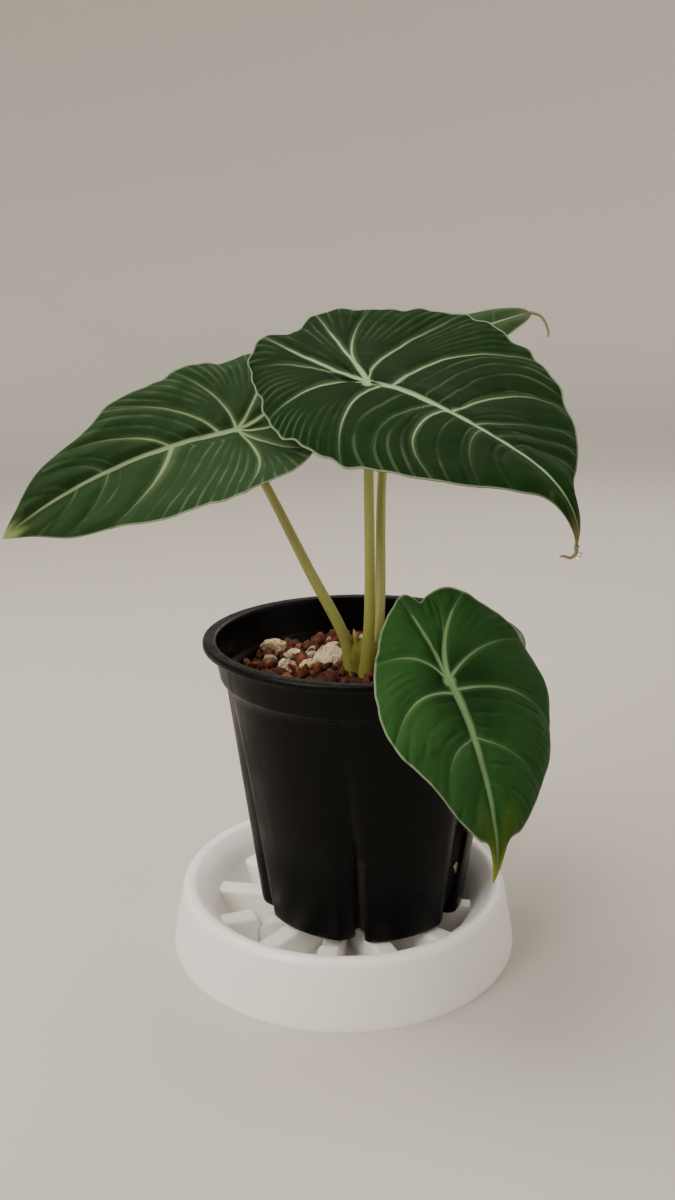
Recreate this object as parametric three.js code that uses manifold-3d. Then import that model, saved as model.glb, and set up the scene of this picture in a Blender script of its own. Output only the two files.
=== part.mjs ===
// A potted velvet-leaved alocasia in a black slit pot on a white saucer.
// Millimetres, Z up. The origin is the centre of the saucer's underside.
// The camera of the reference view looks along +Y, so -Y is the front.
import * as THREE from "three";
import { mergeVertices } from "three/addons/utils/BufferGeometryUtils.js";
import Module from "manifold-3d";

// Gap kept between pieces that touch on the real plant
const GAP = 0.3;

// Saucer: a moulded dish with a hollow rim and raised ribs that the pot stands on
const SAUCER = {
  baseRadius: 66.6,
  height: 24.6,
  wall: 1.7,
  floor: 3,
  ribTop: 14.6,
  lowRibTop: 11.3,
  ribWidth: 8,
  ribBevel: 1.6,
  ribAngle: -8,
  ribCount: 12,
  stepRadius: 36,
};

// Pot: a soft plastic nursery pot, 12 cm across, with six lobes and six slits
const POT = {
  centre: [7.4, 3.6],
  bottom: SAUCER.ribTop + GAP,
  rimTop: 121,
  rimRadius: 60,
  mouthRadius: 55,
  ledge: 107,
  bottomRadius: 39.8,
  taper: 0.133,
  wall: 1.1,
  floor: 1.4,
  lobes: 6,
  grooveAngle: -92.5,
  grooveTwist: -7,
  grooveDepth: 5,
  grooveLeft: 13,
  grooveRight: 6,
  slitAngle: -92.3,
  slitWidth: 3.5,
  slitTop: 50,
  slitInner: 27,
};

// Top of the gravel: its level, the heap round the stems, the rise to the back
// and the dip on the left
const GRAVEL = {
  level: 104.3,
  heap: 1.6,
  heapRadius: 30,
  backRise: 2.4,
  dip: 1.2,
  grains: 56,
  grainSmall: 3,
  grainLarge: 5.4,
};

// Pale pumice stones: place on the gravel, half sizes and turn in degrees
const PUMICE = [
  { at: [-35.4, 29.4], size: [5.2, 4, 3.8], turn: 10 },
  { at: [-29.5, 6.8], size: [3.7, 3.1, 2.8], turn: 40 },
  { at: [-27.4, 23.3], size: [2.4, 2.1, 2], turn: 0 },
  { at: [-20.6, 6.6], size: [3.9, 3.1, 2.6], turn: 60 },
  { at: [-12.2, 12.2], size: [6.2, 5.2, 5], turn: 24 },
  { at: [-10.9, 27.9], size: [2.8, 2.3, 2.2], turn: 50 },
  { at: [33, 18], size: [5.2, 3.9, 3.3], turn: 35 },
  { at: [16, -34], size: [4.1, 3.4, 2.9], turn: 160 },
  { at: [-24, -26], size: [3.8, 2.9, 2.6], turn: 80 },
  { at: [29, -13], size: [3.6, 2.8, 2.5], turn: 15 },
];

// Crown: the short rootstock and the joined stalk bases above it.
// Each level gives its height, its centre in x and y and its half widths.
const CROWN = [
  [82, 8.5, 7, 2, 2],
  [84, 8.5, 7, 4, 4],
  [92, 8.3, 6.8, 5.2, 5],
  [100, 8.2, 6.6, 5.4, 5.1],
  [106, 8, 6.5, 5.9, 5.1],
  [111, 7.8, 6.6, 6.5, 4.9],
  [114.5, 7.8, 6.8, 5.6, 4.2],
  [117.5, 7.4, 6.8, 3, 2.8],
];
const STALK_FOOT_HEIGHT = 103;

// Angles from the tip, in degrees, at which each leaf's outline radii are given
const OUTLINE_ANGLES = [0, 4, 10, 20, 34, 52, 74, 98, 124, 148, 166, 175, 180];

// Leaves. at: where the stalk meets the blade. heading: compass angle of the tip.
// pitch: how far the tip points down. roll: how far the left half is lifted.
// radii: distance from stalk to margin in mm. skew: how much wider the left half is.
// The bends are in degrees, and those named per cm grow along the blade.
// seat: where on the blade the stalk joins, forward and to the left of at.
const LEAVES = {
  left: {
    at: [-38.7, 8.5, 196],
    heading: 203.7,
    pitch: 7.4,
    roll: -27.6,
    radii: [92.7, 82.7, 73, 56, 47.5, 39.3, 38.5, 40.2, 47.2, 41, 35, 29, 26.2],
    skew: 0.161,
    droopPerCm: 3.7,
    tipCurl: 2.7,
    lobeDroopPerCm: -11.1,
    fold: [1.1, -15.2],
    curlPerCm: [-6.8, -0.9],
    twistPerCm: -4,
    seat: [0, 0],
    stalk: {
      foot: [3.8, 6.6],
      knots: [[-0.2, 6.8, 119.7], [-13.4, 7.5, 145.6], [-28.1, 8, 175.5]],
      radii: [2.3, 2.1, 1.8, 1.5],
    },
    tail: [],
  },
  centre: {
    at: [8, -7, 218.3],
    heading: -47.2,
    pitch: 15.5,
    roll: 17.7,
    radii: [107.5, 90.2, 83.4, 74.7, 64.2, 55.4, 47.9, 45.6, 43.1, 47.1, 47.3, 41.4, 40.6],
    skew: 0.155,
    droopPerCm: 1.1,
    tipCurl: 91.7,
    lobeDroopPerCm: -1.4,
    fold: [13.9, 1.2],
    curlPerCm: [-5.8, 7.9],
    twistPerCm: -1.1,
    seat: [7, -6],
    stalk: { foot: [8.5, 3.6], knots: [[9.6, 1.2, 134.6], [8.7, -7.5, 182.8]], radii: [2.3, 2, 1.8, 1.6] },
    tail: [[0, 0, -1.6], [-1.6, 0, -3], [-3.4, 0.4, -2.6], [-4.8, 0.8, -2.8]],
  },
  front: {
    at: [33.3, -60, 125.2],
    heading: -59.2,
    pitch: 44.6,
    roll: -8.2,
    radii: [66.1, 54.3, 52, 47.7, 42.6, 39.9, 37.3, 31.1, 28.5, 29.1, 31.4, 29.4, 27.4],
    skew: 0.228,
    droopPerCm: 4.7,
    tipCurl: 21.5,
    lobeDroopPerCm: -4.9,
    fold: [-23.8, 7.2],
    curlPerCm: [11.4, 6.7],
    twistPerCm: -3.4,
    seat: [0, 0],
    stalk: { foot: [13.4, 3.8], knots: [[16.2, -10, 123.5], [23, -33, 130.6]], radii: [2.1, 1.9, 1.7, 1.5] },
    tail: [],
  },
  back: {
    at: [20.2, 46.2, 222.3],
    heading: 10.3,
    pitch: -12.4,
    roll: 22.4,
    radii: [56.1, 53.5, 46.5, 37, 32.8, 30.1, 28.1, 26.4, 25.6, 25.6, 23.1, 20.6, 19],
    skew: 0.01,
    droopPerCm: -1.7,
    tipCurl: 10.7,
    lobeDroopPerCm: 2.3,
    fold: [-1.9, -0.4],
    curlPerCm: [3.5, 2.9],
    twistPerCm: 1.9,
    seat: [0, 0],
    stalk: { foot: [11.6, 9.6], knots: [[13.8, 15, 131.1], [14.8, 30, 177.9]], radii: [2.4, 1.95, 1.7, 1.4] },
    tail: [[3.4, -0.4, -1], [5.6, -0.8, -3.6], [7, -1, -7.4], [6.8, -1, -9.4]],
  },
};
const BLADE_THICKNESS = 0.8;
const MARGIN_WAVE = { height: 0.55, count: 9 };

// Where the rings and spokes of a blade's mesh lie
const BLADE_RINGS = [0.2, 0.42, 0.62, 0.77, 0.89, 1];
const BLADE_SPOKES = [0, 1.5, 4, 7, 11, 16, 22, 29, 37, 46, 56, 67, 79, 92, 105, 118, 131, 143, 154, 163, 170, 175, 180];

const COLOURS = {
  saucer: { color: "#eceae6", roughness: 0.35 },
  pot: { color: "#161614", roughness: 0.45 },
  gravel: { color: "#7b4630", roughness: 0.95 },
  pumice: { color: "#cdc2aa", roughness: 0.95 },
  crown: { color: "#7d7a3c", roughness: 0.6 },
  stalk: { color: "#76742f", roughness: 0.45 },
  blade: { color: "#2b4b22", roughness: 0.8 },
};

const wasm = await Module();
wasm.setup();

const radians = (degrees) => (degrees * Math.PI) / 180;

// A repeatable stream of random numbers from 0 to 1
function randomStream(seed) {
  let state = seed;
  return () => {
    state = (state * 1664525 + 1013904223) % 4294967296;
    return state / 4294967296;
  };
}

function geometryFrom(points, triangles) {
  const geometry = new THREE.BufferGeometry();
  geometry.setAttribute("position", new THREE.Float32BufferAttribute(points.flat(), 3));
  geometry.setIndex(triangles.flat());
  return geometry;
}

function solidFrom(geometry) {
  const bare = geometry.clone();
  bare.deleteAttribute("normal");
  bare.deleteAttribute("uv");
  const welded = mergeVertices(bare, 1e-4);
  const mesh = new wasm.Mesh({
    numProp: 3,
    vertProperties: new Float32Array(welded.attributes.position.array),
    triVerts: new Uint32Array(welded.index.array),
  });
  return new wasm.Manifold(mesh);
}

function geometryOf(solid) {
  const mesh = solid.getMesh();
  const geometry = new THREE.BufferGeometry();
  geometry.setAttribute("position", new THREE.Float32BufferAttribute(mesh.vertProperties, 3));
  geometry.setIndex(Array.from(mesh.triVerts));
  return geometry;
}

// Drops the slivers that a cut can leave beside the main body
function largestBody(solid) {
  const bodies = solid.decompose();
  return bodies.reduce((best, body) => (body.volume() > best.volume() ? body : best));
}

function piece(name, geometry, look) {
  const flat = geometry.index ? geometry.toNonIndexed() : geometry;
  flat.computeVertexNormals();
  const mesh = new THREE.Mesh(flat, new THREE.MeshStandardMaterial(COLOURS[look]));
  mesh.name = name;
  return mesh;
}

// Joins rings of points, each ring as long as the next, into one closed skin.
// The first and last entries may be single points that close the ends.
function skinOf(rings) {
  const points = rings.flat();
  const triangles = [];
  let start = 0;
  for (let i = 0; i + 1 < rings.length; i += 1) {
    const here = rings[i].length;
    const next = rings[i + 1].length;
    const count = Math.max(here, next);
    for (let k = 0; k < count; k += 1) {
      const a = start + (here > 1 ? k : 0);
      const b = start + (here > 1 ? (k + 1) % here : 0);
      const c = start + here + (next > 1 ? k : 0);
      const d = start + here + (next > 1 ? (k + 1) % next : 0);
      if (here > 1) triangles.push([a, b, c]);
      if (next > 1) triangles.push([b, d, c]);
    }
    start += here;
  }
  return geometryFrom(points, triangles);
}

function latheSolid(profile, segments) {
  const outline = profile.map(([r, z]) => new THREE.Vector2(r, z));
  const geometry = new THREE.LatheGeometry(outline, segments);
  geometry.rotateX(Math.PI / 2);
  return solidFrom(geometry);
}

// Saucer

function saucerShell() {
  const s = SAUCER;
  const profile = [
    [0, 0],
    [46.9, 0],
    [47.4, 3],
    [49, 8.5],
    [51.7, 14.5],
    [54.9, 19],
    [57.6, 21.9],
    [59.5, s.height - s.wall],
    [61, 21.8],
    [s.baseRadius - s.wall, 0],
    [s.baseRadius, 0],
    [62.9, 21.2],
    [61.9, 23.6],
    [60.2, s.height],
    [58.6, s.height],
    [57, 23.7],
    [53.2, 20],
    [50, 15],
    [47.2, 8.6],
    [45.2, 3.8],
    [44, s.floor],
    [0, s.floor],
  ];
  return latheSolid(profile, 48);
}

// One rib, with its top edges bevelled, from radius inner to radius outer
function rib(inner, outer, angle, top) {
  const s = SAUCER;
  const half = s.ribWidth / 2;
  const section = new THREE.Shape();
  section.moveTo(-half, s.floor - 1.5);
  section.lineTo(half, s.floor - 1.5);
  section.lineTo(half, top - s.ribBevel);
  section.lineTo(half - s.ribBevel * 0.3, top - s.ribBevel * 0.3);
  section.lineTo(half - s.ribBevel, top);
  section.lineTo(s.ribBevel - half, top);
  section.lineTo(s.ribBevel * 0.3 - half, top - s.ribBevel * 0.3);
  section.lineTo(-half, top - s.ribBevel);
  section.closePath();
  const bar = new THREE.ExtrudeGeometry(section, { depth: outer - inner, bevelEnabled: false });
  bar.rotateX(Math.PI / 2);
  bar.rotateZ(Math.PI);
  bar.translate(0, inner, 0);
  bar.rotateZ(radians(angle - 90));
  return solidFrom(bar);
}

function makeSaucer() {
  const s = SAUCER;
  const inside = latheSolid([[0, 1], [45.5, 1], [48, 8.5], [50.8, 15], [50.8, 18], [0, 18]], 48);
  let ribs = null;
  for (let i = 0; i < s.ribCount; i += 1) {
    const angle = s.ribAngle + (360 / s.ribCount) * i;
    const stepped = i % 2 === 1;
    const bar = rib(stepped ? s.stepRadius : 0, 54, angle, s.ribTop);
    ribs = ribs ? ribs.add(bar) : bar;
    if (stepped) ribs = ribs.add(rib(0, s.stepRadius + 1, angle, s.lowRibTop));
  }
  const solid = saucerShell().add(ribs.intersect(inside));
  return piece("saucer", geometryOf(solid), "saucer");
}

// Pot

// Outer radius of the pot's body, before its grooves
function bodyRadius(z) {
  return POT.bottomRadius + (z - POT.bottom) * POT.taper;
}

// How far a groove reaches in at an angle measured from its own line
function grooveInset(offset, z) {
  const rise = (POT.ledge - 1.5 - z) / (POT.ledge - 1.5 - POT.bottom);
  const depth = POT.grooveDepth * Math.min(1, Math.max(0, rise));
  const reach = offset < 0 ? POT.grooveLeft : POT.grooveRight;
  return depth * Math.max(0, 1 - Math.abs(offset) / reach);
}

// Angles of the ring points in one lobe, measured from its groove
const LOBE_ANGLES = [-30, -21.5, -13, -6.5, 0, 3, 6, 18];
const COARSE_LOBE_ANGLES = [-30, -21.5, -13, 0, 6, 18];

// One ring of pot points at height z. inward moves the ring towards the axis.
function potRing(z, radius, inward, grooved, offsets = LOBE_ANGLES) {
  const low = Math.min(z, POT.ledge - 1.5);
  const twist = (POT.grooveTwist * (low - POT.bottom)) / (POT.ledge - POT.bottom);
  const ring = [];
  for (let lobe = 0; lobe < POT.lobes; lobe += 1) {
    for (const offset of offsets) {
      const angle = radians(POT.grooveAngle + twist + (360 / POT.lobes) * lobe + offset);
      const inset = grooved ? grooveInset(offset, z) : 0;
      const r = radius - inset - inward;
      ring.push([POT.centre[0] + r * Math.cos(angle), POT.centre[1] + r * Math.sin(angle), z]);
    }
  }
  return ring;
}

function centrePoint(z) {
  return [[POT.centre[0], POT.centre[1], z]];
}

// Rings up the body, from just above the bottom to just under the ledge
function bodyRings(inward, heights, offsets = LOBE_ANGLES) {
  return heights.map((z) => potRing(z, bodyRadius(z), inward, true, offsets));
}

function makePot() {
  const p = POT;
  const base = p.bottom;
  const inner = p.wall;
  const rings = [
    centrePoint(base),
    potRing(base, bodyRadius(base), 1.3, true),
    potRing(base + 0.4, bodyRadius(base), 0.4, true),
    ...bodyRings(0, [base + 1.4, 34, 54, 74, 92, p.ledge - 1.5]),
    potRing(p.ledge - 0.2, 53.6, 0, false),
    potRing(p.ledge + 0.6, 54, 0, false),
    potRing(p.rimTop - 2.8, 55.7, 0, false),
    potRing(p.rimTop - 2.8, p.rimRadius - 0.5, 0, false),
    potRing(p.rimTop - 2.2, p.rimRadius, 0, false),
    potRing(p.rimTop - 0.8, p.rimRadius, 0, false),
    potRing(p.rimTop, p.rimRadius - 0.8, 0, false),
    potRing(p.rimTop, p.mouthRadius + 0.7, 0, false),
    potRing(p.rimTop - 0.6, p.mouthRadius, 0, false),
    potRing(p.ledge + 0.6, 54 - inner, 0, false),
    ...bodyRings(inner, [p.ledge - 1.5, 92, 74, 54, 34, base + 3]),
    potRing(base + p.floor, bodyRadius(base), inner + 1.5, true),
    centrePoint(base + p.floor),
  ];
  let solid = solidFrom(skinOf(rings));
  for (let lobe = 0; lobe < p.lobes; lobe += 1) {
    solid = solid.subtract(slit(p.slitAngle + (360 / p.lobes) * lobe));
  }
  return piece("pot", geometryOf(solid), "pot");
}

// The cutter for one slit: a round-topped slot through wall and floor
function slit(angle) {
  const p = POT;
  const outer = 52;
  const height = p.slitTop - p.bottom + 2;
  const box = new THREE.BoxGeometry(outer - p.slitInner, p.slitWidth, height);
  box.translate((outer + p.slitInner) / 2, 0, p.bottom - 2 + height / 2);
  const top = new THREE.CylinderGeometry(p.slitWidth / 2, p.slitWidth / 2, outer - p.slitInner, 12);
  top.rotateZ(Math.PI / 2);
  top.translate((outer + p.slitInner) / 2, 0, p.slitTop);
  return solidFrom(box)
    .add(solidFrom(top))
    .rotate([0, 0, angle])
    .translate([p.centre[0], p.centre[1], 0]);
}

// Gravel and pumice

// Height of the gravel's top at a place given from the pot's axis
function gravelHeight(x, y) {
  const g = GRAVEL;
  const r2 = x * x + y * y;
  const heap = g.heap * Math.exp(-r2 / (g.heapRadius * g.heapRadius));
  return g.level + heap + (g.backRise * y) / 50 - g.dip * Math.max(0, -x / 50);
}

// An irregular stone with the given half sizes. detail 0 has 20 faces, detail 1 has 80.
function stone(size, turn, detail, roughness, random) {
  const geometry = new THREE.IcosahedronGeometry(1, detail);
  geometry.deleteAttribute("normal");
  geometry.deleteAttribute("uv");
  const welded = mergeVertices(geometry, 1e-4);
  const position = welded.attributes.position;
  for (let i = 0; i < position.count; i += 1) {
    const swell = 1 + roughness * (random() - 0.5);
    position.setXYZ(
      i,
      position.getX(i) * size[0] * swell,
      position.getY(i) * size[1] * swell,
      position.getZ(i) * size[2] * swell,
    );
  }
  welded.rotateZ(radians(turn));
  return welded;
}

function pumiceStone(index, grow) {
  const { at, size, turn } = PUMICE[index];
  const random = randomStream(310 + index);
  const larger = size.map((half) => half + grow);
  const geometry = stone(larger, turn, 1, 0.22, random);
  const height = gravelHeight(at[0], at[1]) + size[2] * 0.45;
  geometry.translate(POT.centre[0] + at[0], POT.centre[1] + at[1], height);
  return geometry;
}

function makePumice() {
  return PUMICE.map((_, i) => piece(`pumice_${i + 1}`, pumiceStone(i, 0), "pumice"));
}

// Chips of red-brown lava rock, spread evenly over the gravel's top by a seeded rule
function chips() {
  const g = GRAVEL;
  const random = randomStream(77);
  const reach = 46;
  const solids = [];
  for (let i = 0; i < g.grains; i += 1) {
    const r = reach * Math.sqrt((i + 0.5) / g.grains);
    const angle = i * 2.39996 + 0.5 * (random() - 0.5);
    const x = r * Math.cos(angle);
    const y = r * Math.sin(angle);
    const half = g.grainSmall + (g.grainLarge - g.grainSmall) * random();
    const size = [half, half * (0.62 + 0.3 * random()), half * (0.5 + 0.25 * random())];
    const geometry = stone(size, 360 * random(), 0, 0.35, random);
    geometry.rotateX(0.7 * (random() - 0.5));
    geometry.translate(POT.centre[0] + x, POT.centre[1] + y, gravelHeight(x, y) + size[2] * 0.15);
    solids.push(solidFrom(geometry));
  }
  return wasm.Manifold.union(solids);
}

function gravelFill() {
  const p = POT;
  const inward = p.wall + GAP;
  const rings = [
    centrePoint(p.bottom + p.floor + GAP),
    potRing(p.bottom + p.floor + GAP, bodyRadius(p.bottom), inward + 1.8, true, COARSE_LOBE_ANGLES),
    ...bodyRings(inward, [p.bottom + 3.4, 34, 54, 74, 92], COARSE_LOBE_ANGLES),
  ];
  const topRing = potRing(99, bodyRadius(99), inward, true, COARSE_LOBE_ANGLES);
  for (const share of [1, 0.8, 0.55, 0.3]) {
    rings.push(
      topRing.map(([x, y]) => {
        const dx = (x - p.centre[0]) * share;
        const dy = (y - p.centre[1]) * share;
        return [p.centre[0] + dx, p.centre[1] + dy, gravelHeight(dx, dy)];
      }),
    );
  }
  rings.push(centrePoint(gravelHeight(0, 0)));
  return solidFrom(skinOf(rings));
}

function makeGravel() {
  let solid = gravelFill().add(chips());
  for (let i = 0; i < PUMICE.length; i += 1) {
    solid = solid.subtract(solidFrom(pumiceStone(i, GAP)));
  }
  solid = solid.subtract(crownSolid(GAP));
  for (const leaf of Object.values(LEAVES)) {
    solid = solid.subtract(solidFrom(stalkGeometry(leaf, GAP)));
  }
  return piece("gravel", geometryOf(largestBody(solid)), "gravel");
}

// Leaf blades

// A smooth radius between the outline's given angles
function marginRadius(leaf, angle) {
  const a = OUTLINE_ANGLES;
  const r = leaf.radii;
  const last = a.length - 1;
  let k = 0;
  while (k < last - 1 && angle >= a[k + 1]) k += 1;
  const slope = (i) => {
    if (i === 0) return (r[1] - r[0]) / (a[1] - a[0]);
    if (i === last) return 0;
    return (r[i + 1] - r[i - 1]) / (a[i + 1] - a[i - 1]);
  };
  const step = a[k + 1] - a[k];
  const t = (angle - a[k]) / step;
  const t2 = t * t;
  const t3 = t2 * t;
  return (
    (2 * t3 - 3 * t2 + 1) * r[k] +
    (t3 - 2 * t2 + t) * step * slope(k) +
    (3 * t2 - 2 * t3) * r[k + 1] +
    (t3 - t2) * step * slope(k + 1)
  );
}

// Walks a bending line and gives how far it gets along and down
function bentLine(length, bendAt) {
  const steps = 24;
  let along = 0;
  let down = 0;
  for (let i = 0; i < steps; i += 1) {
    const bend = bendAt((length * (i + 0.5)) / steps);
    along += (Math.cos(bend) * length) / steps;
    down += (Math.sin(bend) * length) / steps;
  }
  return { along, down };
}

// The three directions of a leaf: to its tip, to its left and up from its face
function leafAxes(leaf) {
  const heading = radians(leaf.heading);
  const pitch = radians(leaf.pitch);
  const roll = radians(leaf.roll);
  const tip = new THREE.Vector3(
    Math.cos(heading) * Math.cos(pitch),
    Math.sin(heading) * Math.cos(pitch),
    -Math.sin(pitch),
  );
  const level = new THREE.Vector3(-Math.sin(heading), Math.cos(heading), 0);
  const face = new THREE.Vector3().crossVectors(tip, level);
  const left = level.clone().multiplyScalar(Math.cos(roll)).addScaledVector(face, Math.sin(roll));
  const up = level.clone().multiplyScalar(-Math.sin(roll)).addScaledVector(face, Math.cos(roll));
  return { tip, left, up };
}

// Place in space of the blade's middle surface, forward mm from the stalk and side mm to the left
function bladePoint(leaf, forward, side, lift = 0) {
  const reach = leaf.radii[0];
  const midribBend = (a) => {
    if (a < 0) return radians(leaf.lobeDroopPerCm / 10) * a;
    const past = Math.max(0, a / reach - 0.6) / 0.4;
    return radians(leaf.droopPerCm / 10) * a + radians(leaf.tipCurl) * past * past;
  };
  const half = side > 0 ? 0 : 1;
  const sideBend = (b) => radians(leaf.fold[half]) + radians(leaf.curlPerCm[half] / 10) * b;
  const rib = bentLine(forward, midribBend);
  const wing = bentLine(Math.abs(side), sideBend);
  const across = Math.sign(side) * wing.along;
  const rise = lift - wing.down;
  const twist = radians(leaf.twistPerCm / 10) * forward;
  const wingSide = across * Math.cos(twist) - rise * Math.sin(twist);
  const wingRise = across * Math.sin(twist) + rise * Math.cos(twist);
  const bend = midribBend(forward);
  const { tip, left, up } = leafAxes(leaf);
  return new THREE.Vector3(...leaf.at)
    .addScaledVector(tip, rib.along + wingRise * Math.sin(bend))
    .addScaledVector(left, wingSide)
    .addScaledVector(up, wingRise * Math.cos(bend) - rib.down);
}

// A place on the blade by its share of the way out and its angle from the tip
function bladePlace(leaf, share, angle) {
  const radius = marginRadius(leaf, Math.abs(angle)) * share;
  const turn = radians(angle);
  const forward = radius * Math.cos(turn);
  const side = radius * Math.sin(turn) * Math.exp(Math.sign(angle) * leaf.skew);
  const wave = MARGIN_WAVE.height * Math.cos(MARGIN_WAVE.count * turn) * share ** 4;
  const calm = Math.min(1, Math.abs(angle) / 20);
  return bladePoint(leaf, forward, side, wave * calm);
}

// The blade's upward normal, from points a little way round the place
function bladeNormal(leaf, forward, side) {
  const h = 0.5;
  const along = bladePoint(leaf, forward + h, side).sub(bladePoint(leaf, forward - h, side));
  const across = bladePoint(leaf, forward, side + h).sub(bladePoint(leaf, forward, side - h));
  return along.cross(across).normalize();
}

function makeBlade(name) {
  const leaf = LEAVES[name];
  const spokes = [...BLADE_SPOKES, ...BLADE_SPOKES.slice(1, -1).reverse().map((angle) => -angle)];
  const faces = [1, -1].map((face) => {
    const offset = (face * BLADE_THICKNESS) / 2;
    const place = (share, angle) => {
      const radius = marginRadius(leaf, Math.abs(angle)) * share;
      const turn = radians(angle);
      const forward = radius * Math.cos(turn);
      const side = radius * Math.sin(turn) * Math.exp(Math.sign(angle) * leaf.skew);
      const normal = bladeNormal(leaf, forward, side);
      return bladePlace(leaf, share, angle).addScaledVector(normal, offset).toArray();
    };
    const rings = BLADE_RINGS.map((share) => spokes.map((angle) => place(share, angle)));
    return [[place(0, 0)], ...rings];
  });
  const rings = [...faces[1], ...faces[0].reverse()];
  const solid = solidFrom(skinOf(rings));
  const whole = leaf.tail.length > 0 ? solid.add(tailSolid(leaf)) : solid;
  return piece(`blade_${name}`, geometryOf(whole), "blade");
}

// The dry, curled end of a leaf's drip tip
function tailSolid(leaf) {
  const start = bladePlace(leaf, 0.97, 0);
  const end = bladePlace(leaf, 1, 0);
  const knots = [start, end, ...leaf.tail.map((step) => end.clone().add(new THREE.Vector3(...step)))];
  const curve = new THREE.CatmullRomCurve3(knots);
  return solidFrom(stem(curve, [0.75, 0.65, 0.55, 0.35], 10, 6));
}

// Stalks and crown

// A round stem along a curve, its radius passing evenly through the given values.
// cap, if given, is a plane that the last ring is cut along.
function stem(curve, radii, steps, sides, cap = null) {
  const rings = [];
  const frames = curve.computeFrenetFrames(steps, false);
  for (let i = 0; i <= steps; i += 1) {
    const t = i / steps;
    const place = Math.min(t * (radii.length - 1), radii.length - 1.0001);
    const k = Math.floor(place);
    const radius = THREE.MathUtils.lerp(radii[k], radii[k + 1], place - k);
    const centre = curve.getPointAt(t);
    const ring = [];
    for (let s = 0; s < sides; s += 1) {
      const turn = (2 * Math.PI * s) / sides;
      const point = centre
        .clone()
        .addScaledVector(frames.normals[i], radius * Math.cos(turn))
        .addScaledVector(frames.binormals[i], radius * Math.sin(turn));
      if (cap && i === steps) {
        const tangent = frames.tangents[i];
        point.addScaledVector(tangent, cap.distanceToPoint(point) / -cap.normal.dot(tangent));
      }
      ring.push(point.toArray());
    }
    if (i === 0) rings.push([centre.toArray()]);
    rings.push(ring);
    if (i === steps) {
      const middle = new THREE.Vector3();
      ring.forEach((corner) => middle.add(new THREE.Vector3(...corner)));
      rings.push([middle.divideScalar(sides).toArray()]);
    }
  }
  return skinOf(rings);
}

// The curve of a leaf's stalk, from its foot in the crown to the blade's underside
function stalkCurve(leaf) {
  const normal = bladeNormal(leaf, ...leaf.seat);
  const seat = bladePoint(leaf, ...leaf.seat).addScaledVector(normal, -BLADE_THICKNESS / 2 - GAP);
  const foot = new THREE.Vector3(leaf.stalk.foot[0], leaf.stalk.foot[1], STALK_FOOT_HEIGHT);
  const knots = leaf.stalk.knots.map((knot) => new THREE.Vector3(...knot));
  return { curve: new THREE.CatmullRomCurve3([foot, ...knots, seat]), seat, normal };
}

function stalkGeometry(leaf, grow) {
  const { curve, seat, normal } = stalkCurve(leaf);
  const cap = new THREE.Plane().setFromNormalAndCoplanarPoint(normal, seat);
  const radii = leaf.stalk.radii.map((radius) => radius + grow);
  return stem(curve, radii, 16, 8, cap);
}

function makeStalk(name) {
  return piece(`stalk_${name}`, stalkGeometry(LEAVES[name], 0), "stalk");
}

// The crown's outer shape, its ovals widened by grow
function crownSolid(grow) {
  const last = CROWN.length - 1;
  const rings = CROWN.map(([z, x, y, halfX, halfY], i) => {
    const lift = i === 0 ? -grow : i === last ? grow : 0;
    const ring = [];
    for (let k = 0; k < 20; k += 1) {
      const turn = (2 * Math.PI * k) / 20;
      ring.push([x + (halfX + grow) * Math.cos(turn), y + (halfY + grow) * Math.sin(turn), z + lift]);
    }
    return ring;
  });
  const low = [[CROWN[0][1], CROWN[0][2], CROWN[0][0] - grow]];
  const high = [[CROWN[last][1], CROWN[last][2], CROWN[last][0] + grow]];
  return solidFrom(skinOf([low, ...rings, high]));
}

// A dry sheath leaf that stands on the crown between the left and centre stalks
function sheathSolid() {
  const curve = new THREE.CatmullRomCurve3([
    new THREE.Vector3(5.8, 6.6, 112),
    new THREE.Vector3(5, 6.4, 117),
    new THREE.Vector3(3.8, 6.4, 122),
  ]);
  return solidFrom(stem(curve, [1.9, 1.5, 0.6], 6, 6));
}

function makeCrown() {
  let solid = crownSolid(0).add(sheathSolid());
  for (const leaf of Object.values(LEAVES)) {
    solid = solid.subtract(solidFrom(stalkGeometry(leaf, GAP)));
  }
  return piece("crown", geometryOf(solid), "crown");
}

const plant = new THREE.Group();
plant.add(makeSaucer(), makePot(), makeGravel(), ...makePumice(), makeCrown());
for (const name of Object.keys(LEAVES)) {
  plant.add(makeStalk(name), makeBlade(name));
}

export default plant;
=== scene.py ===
"""A potted velvet-leaved alocasia on its saucer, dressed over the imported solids.

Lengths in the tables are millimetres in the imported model's own frame: +Z up,
-Y to the viewer, the origin under the middle of the saucer.
"""
import math

import bmesh
import bpy
import numpy as np
from mathutils import Matrix, Vector, noise


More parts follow.
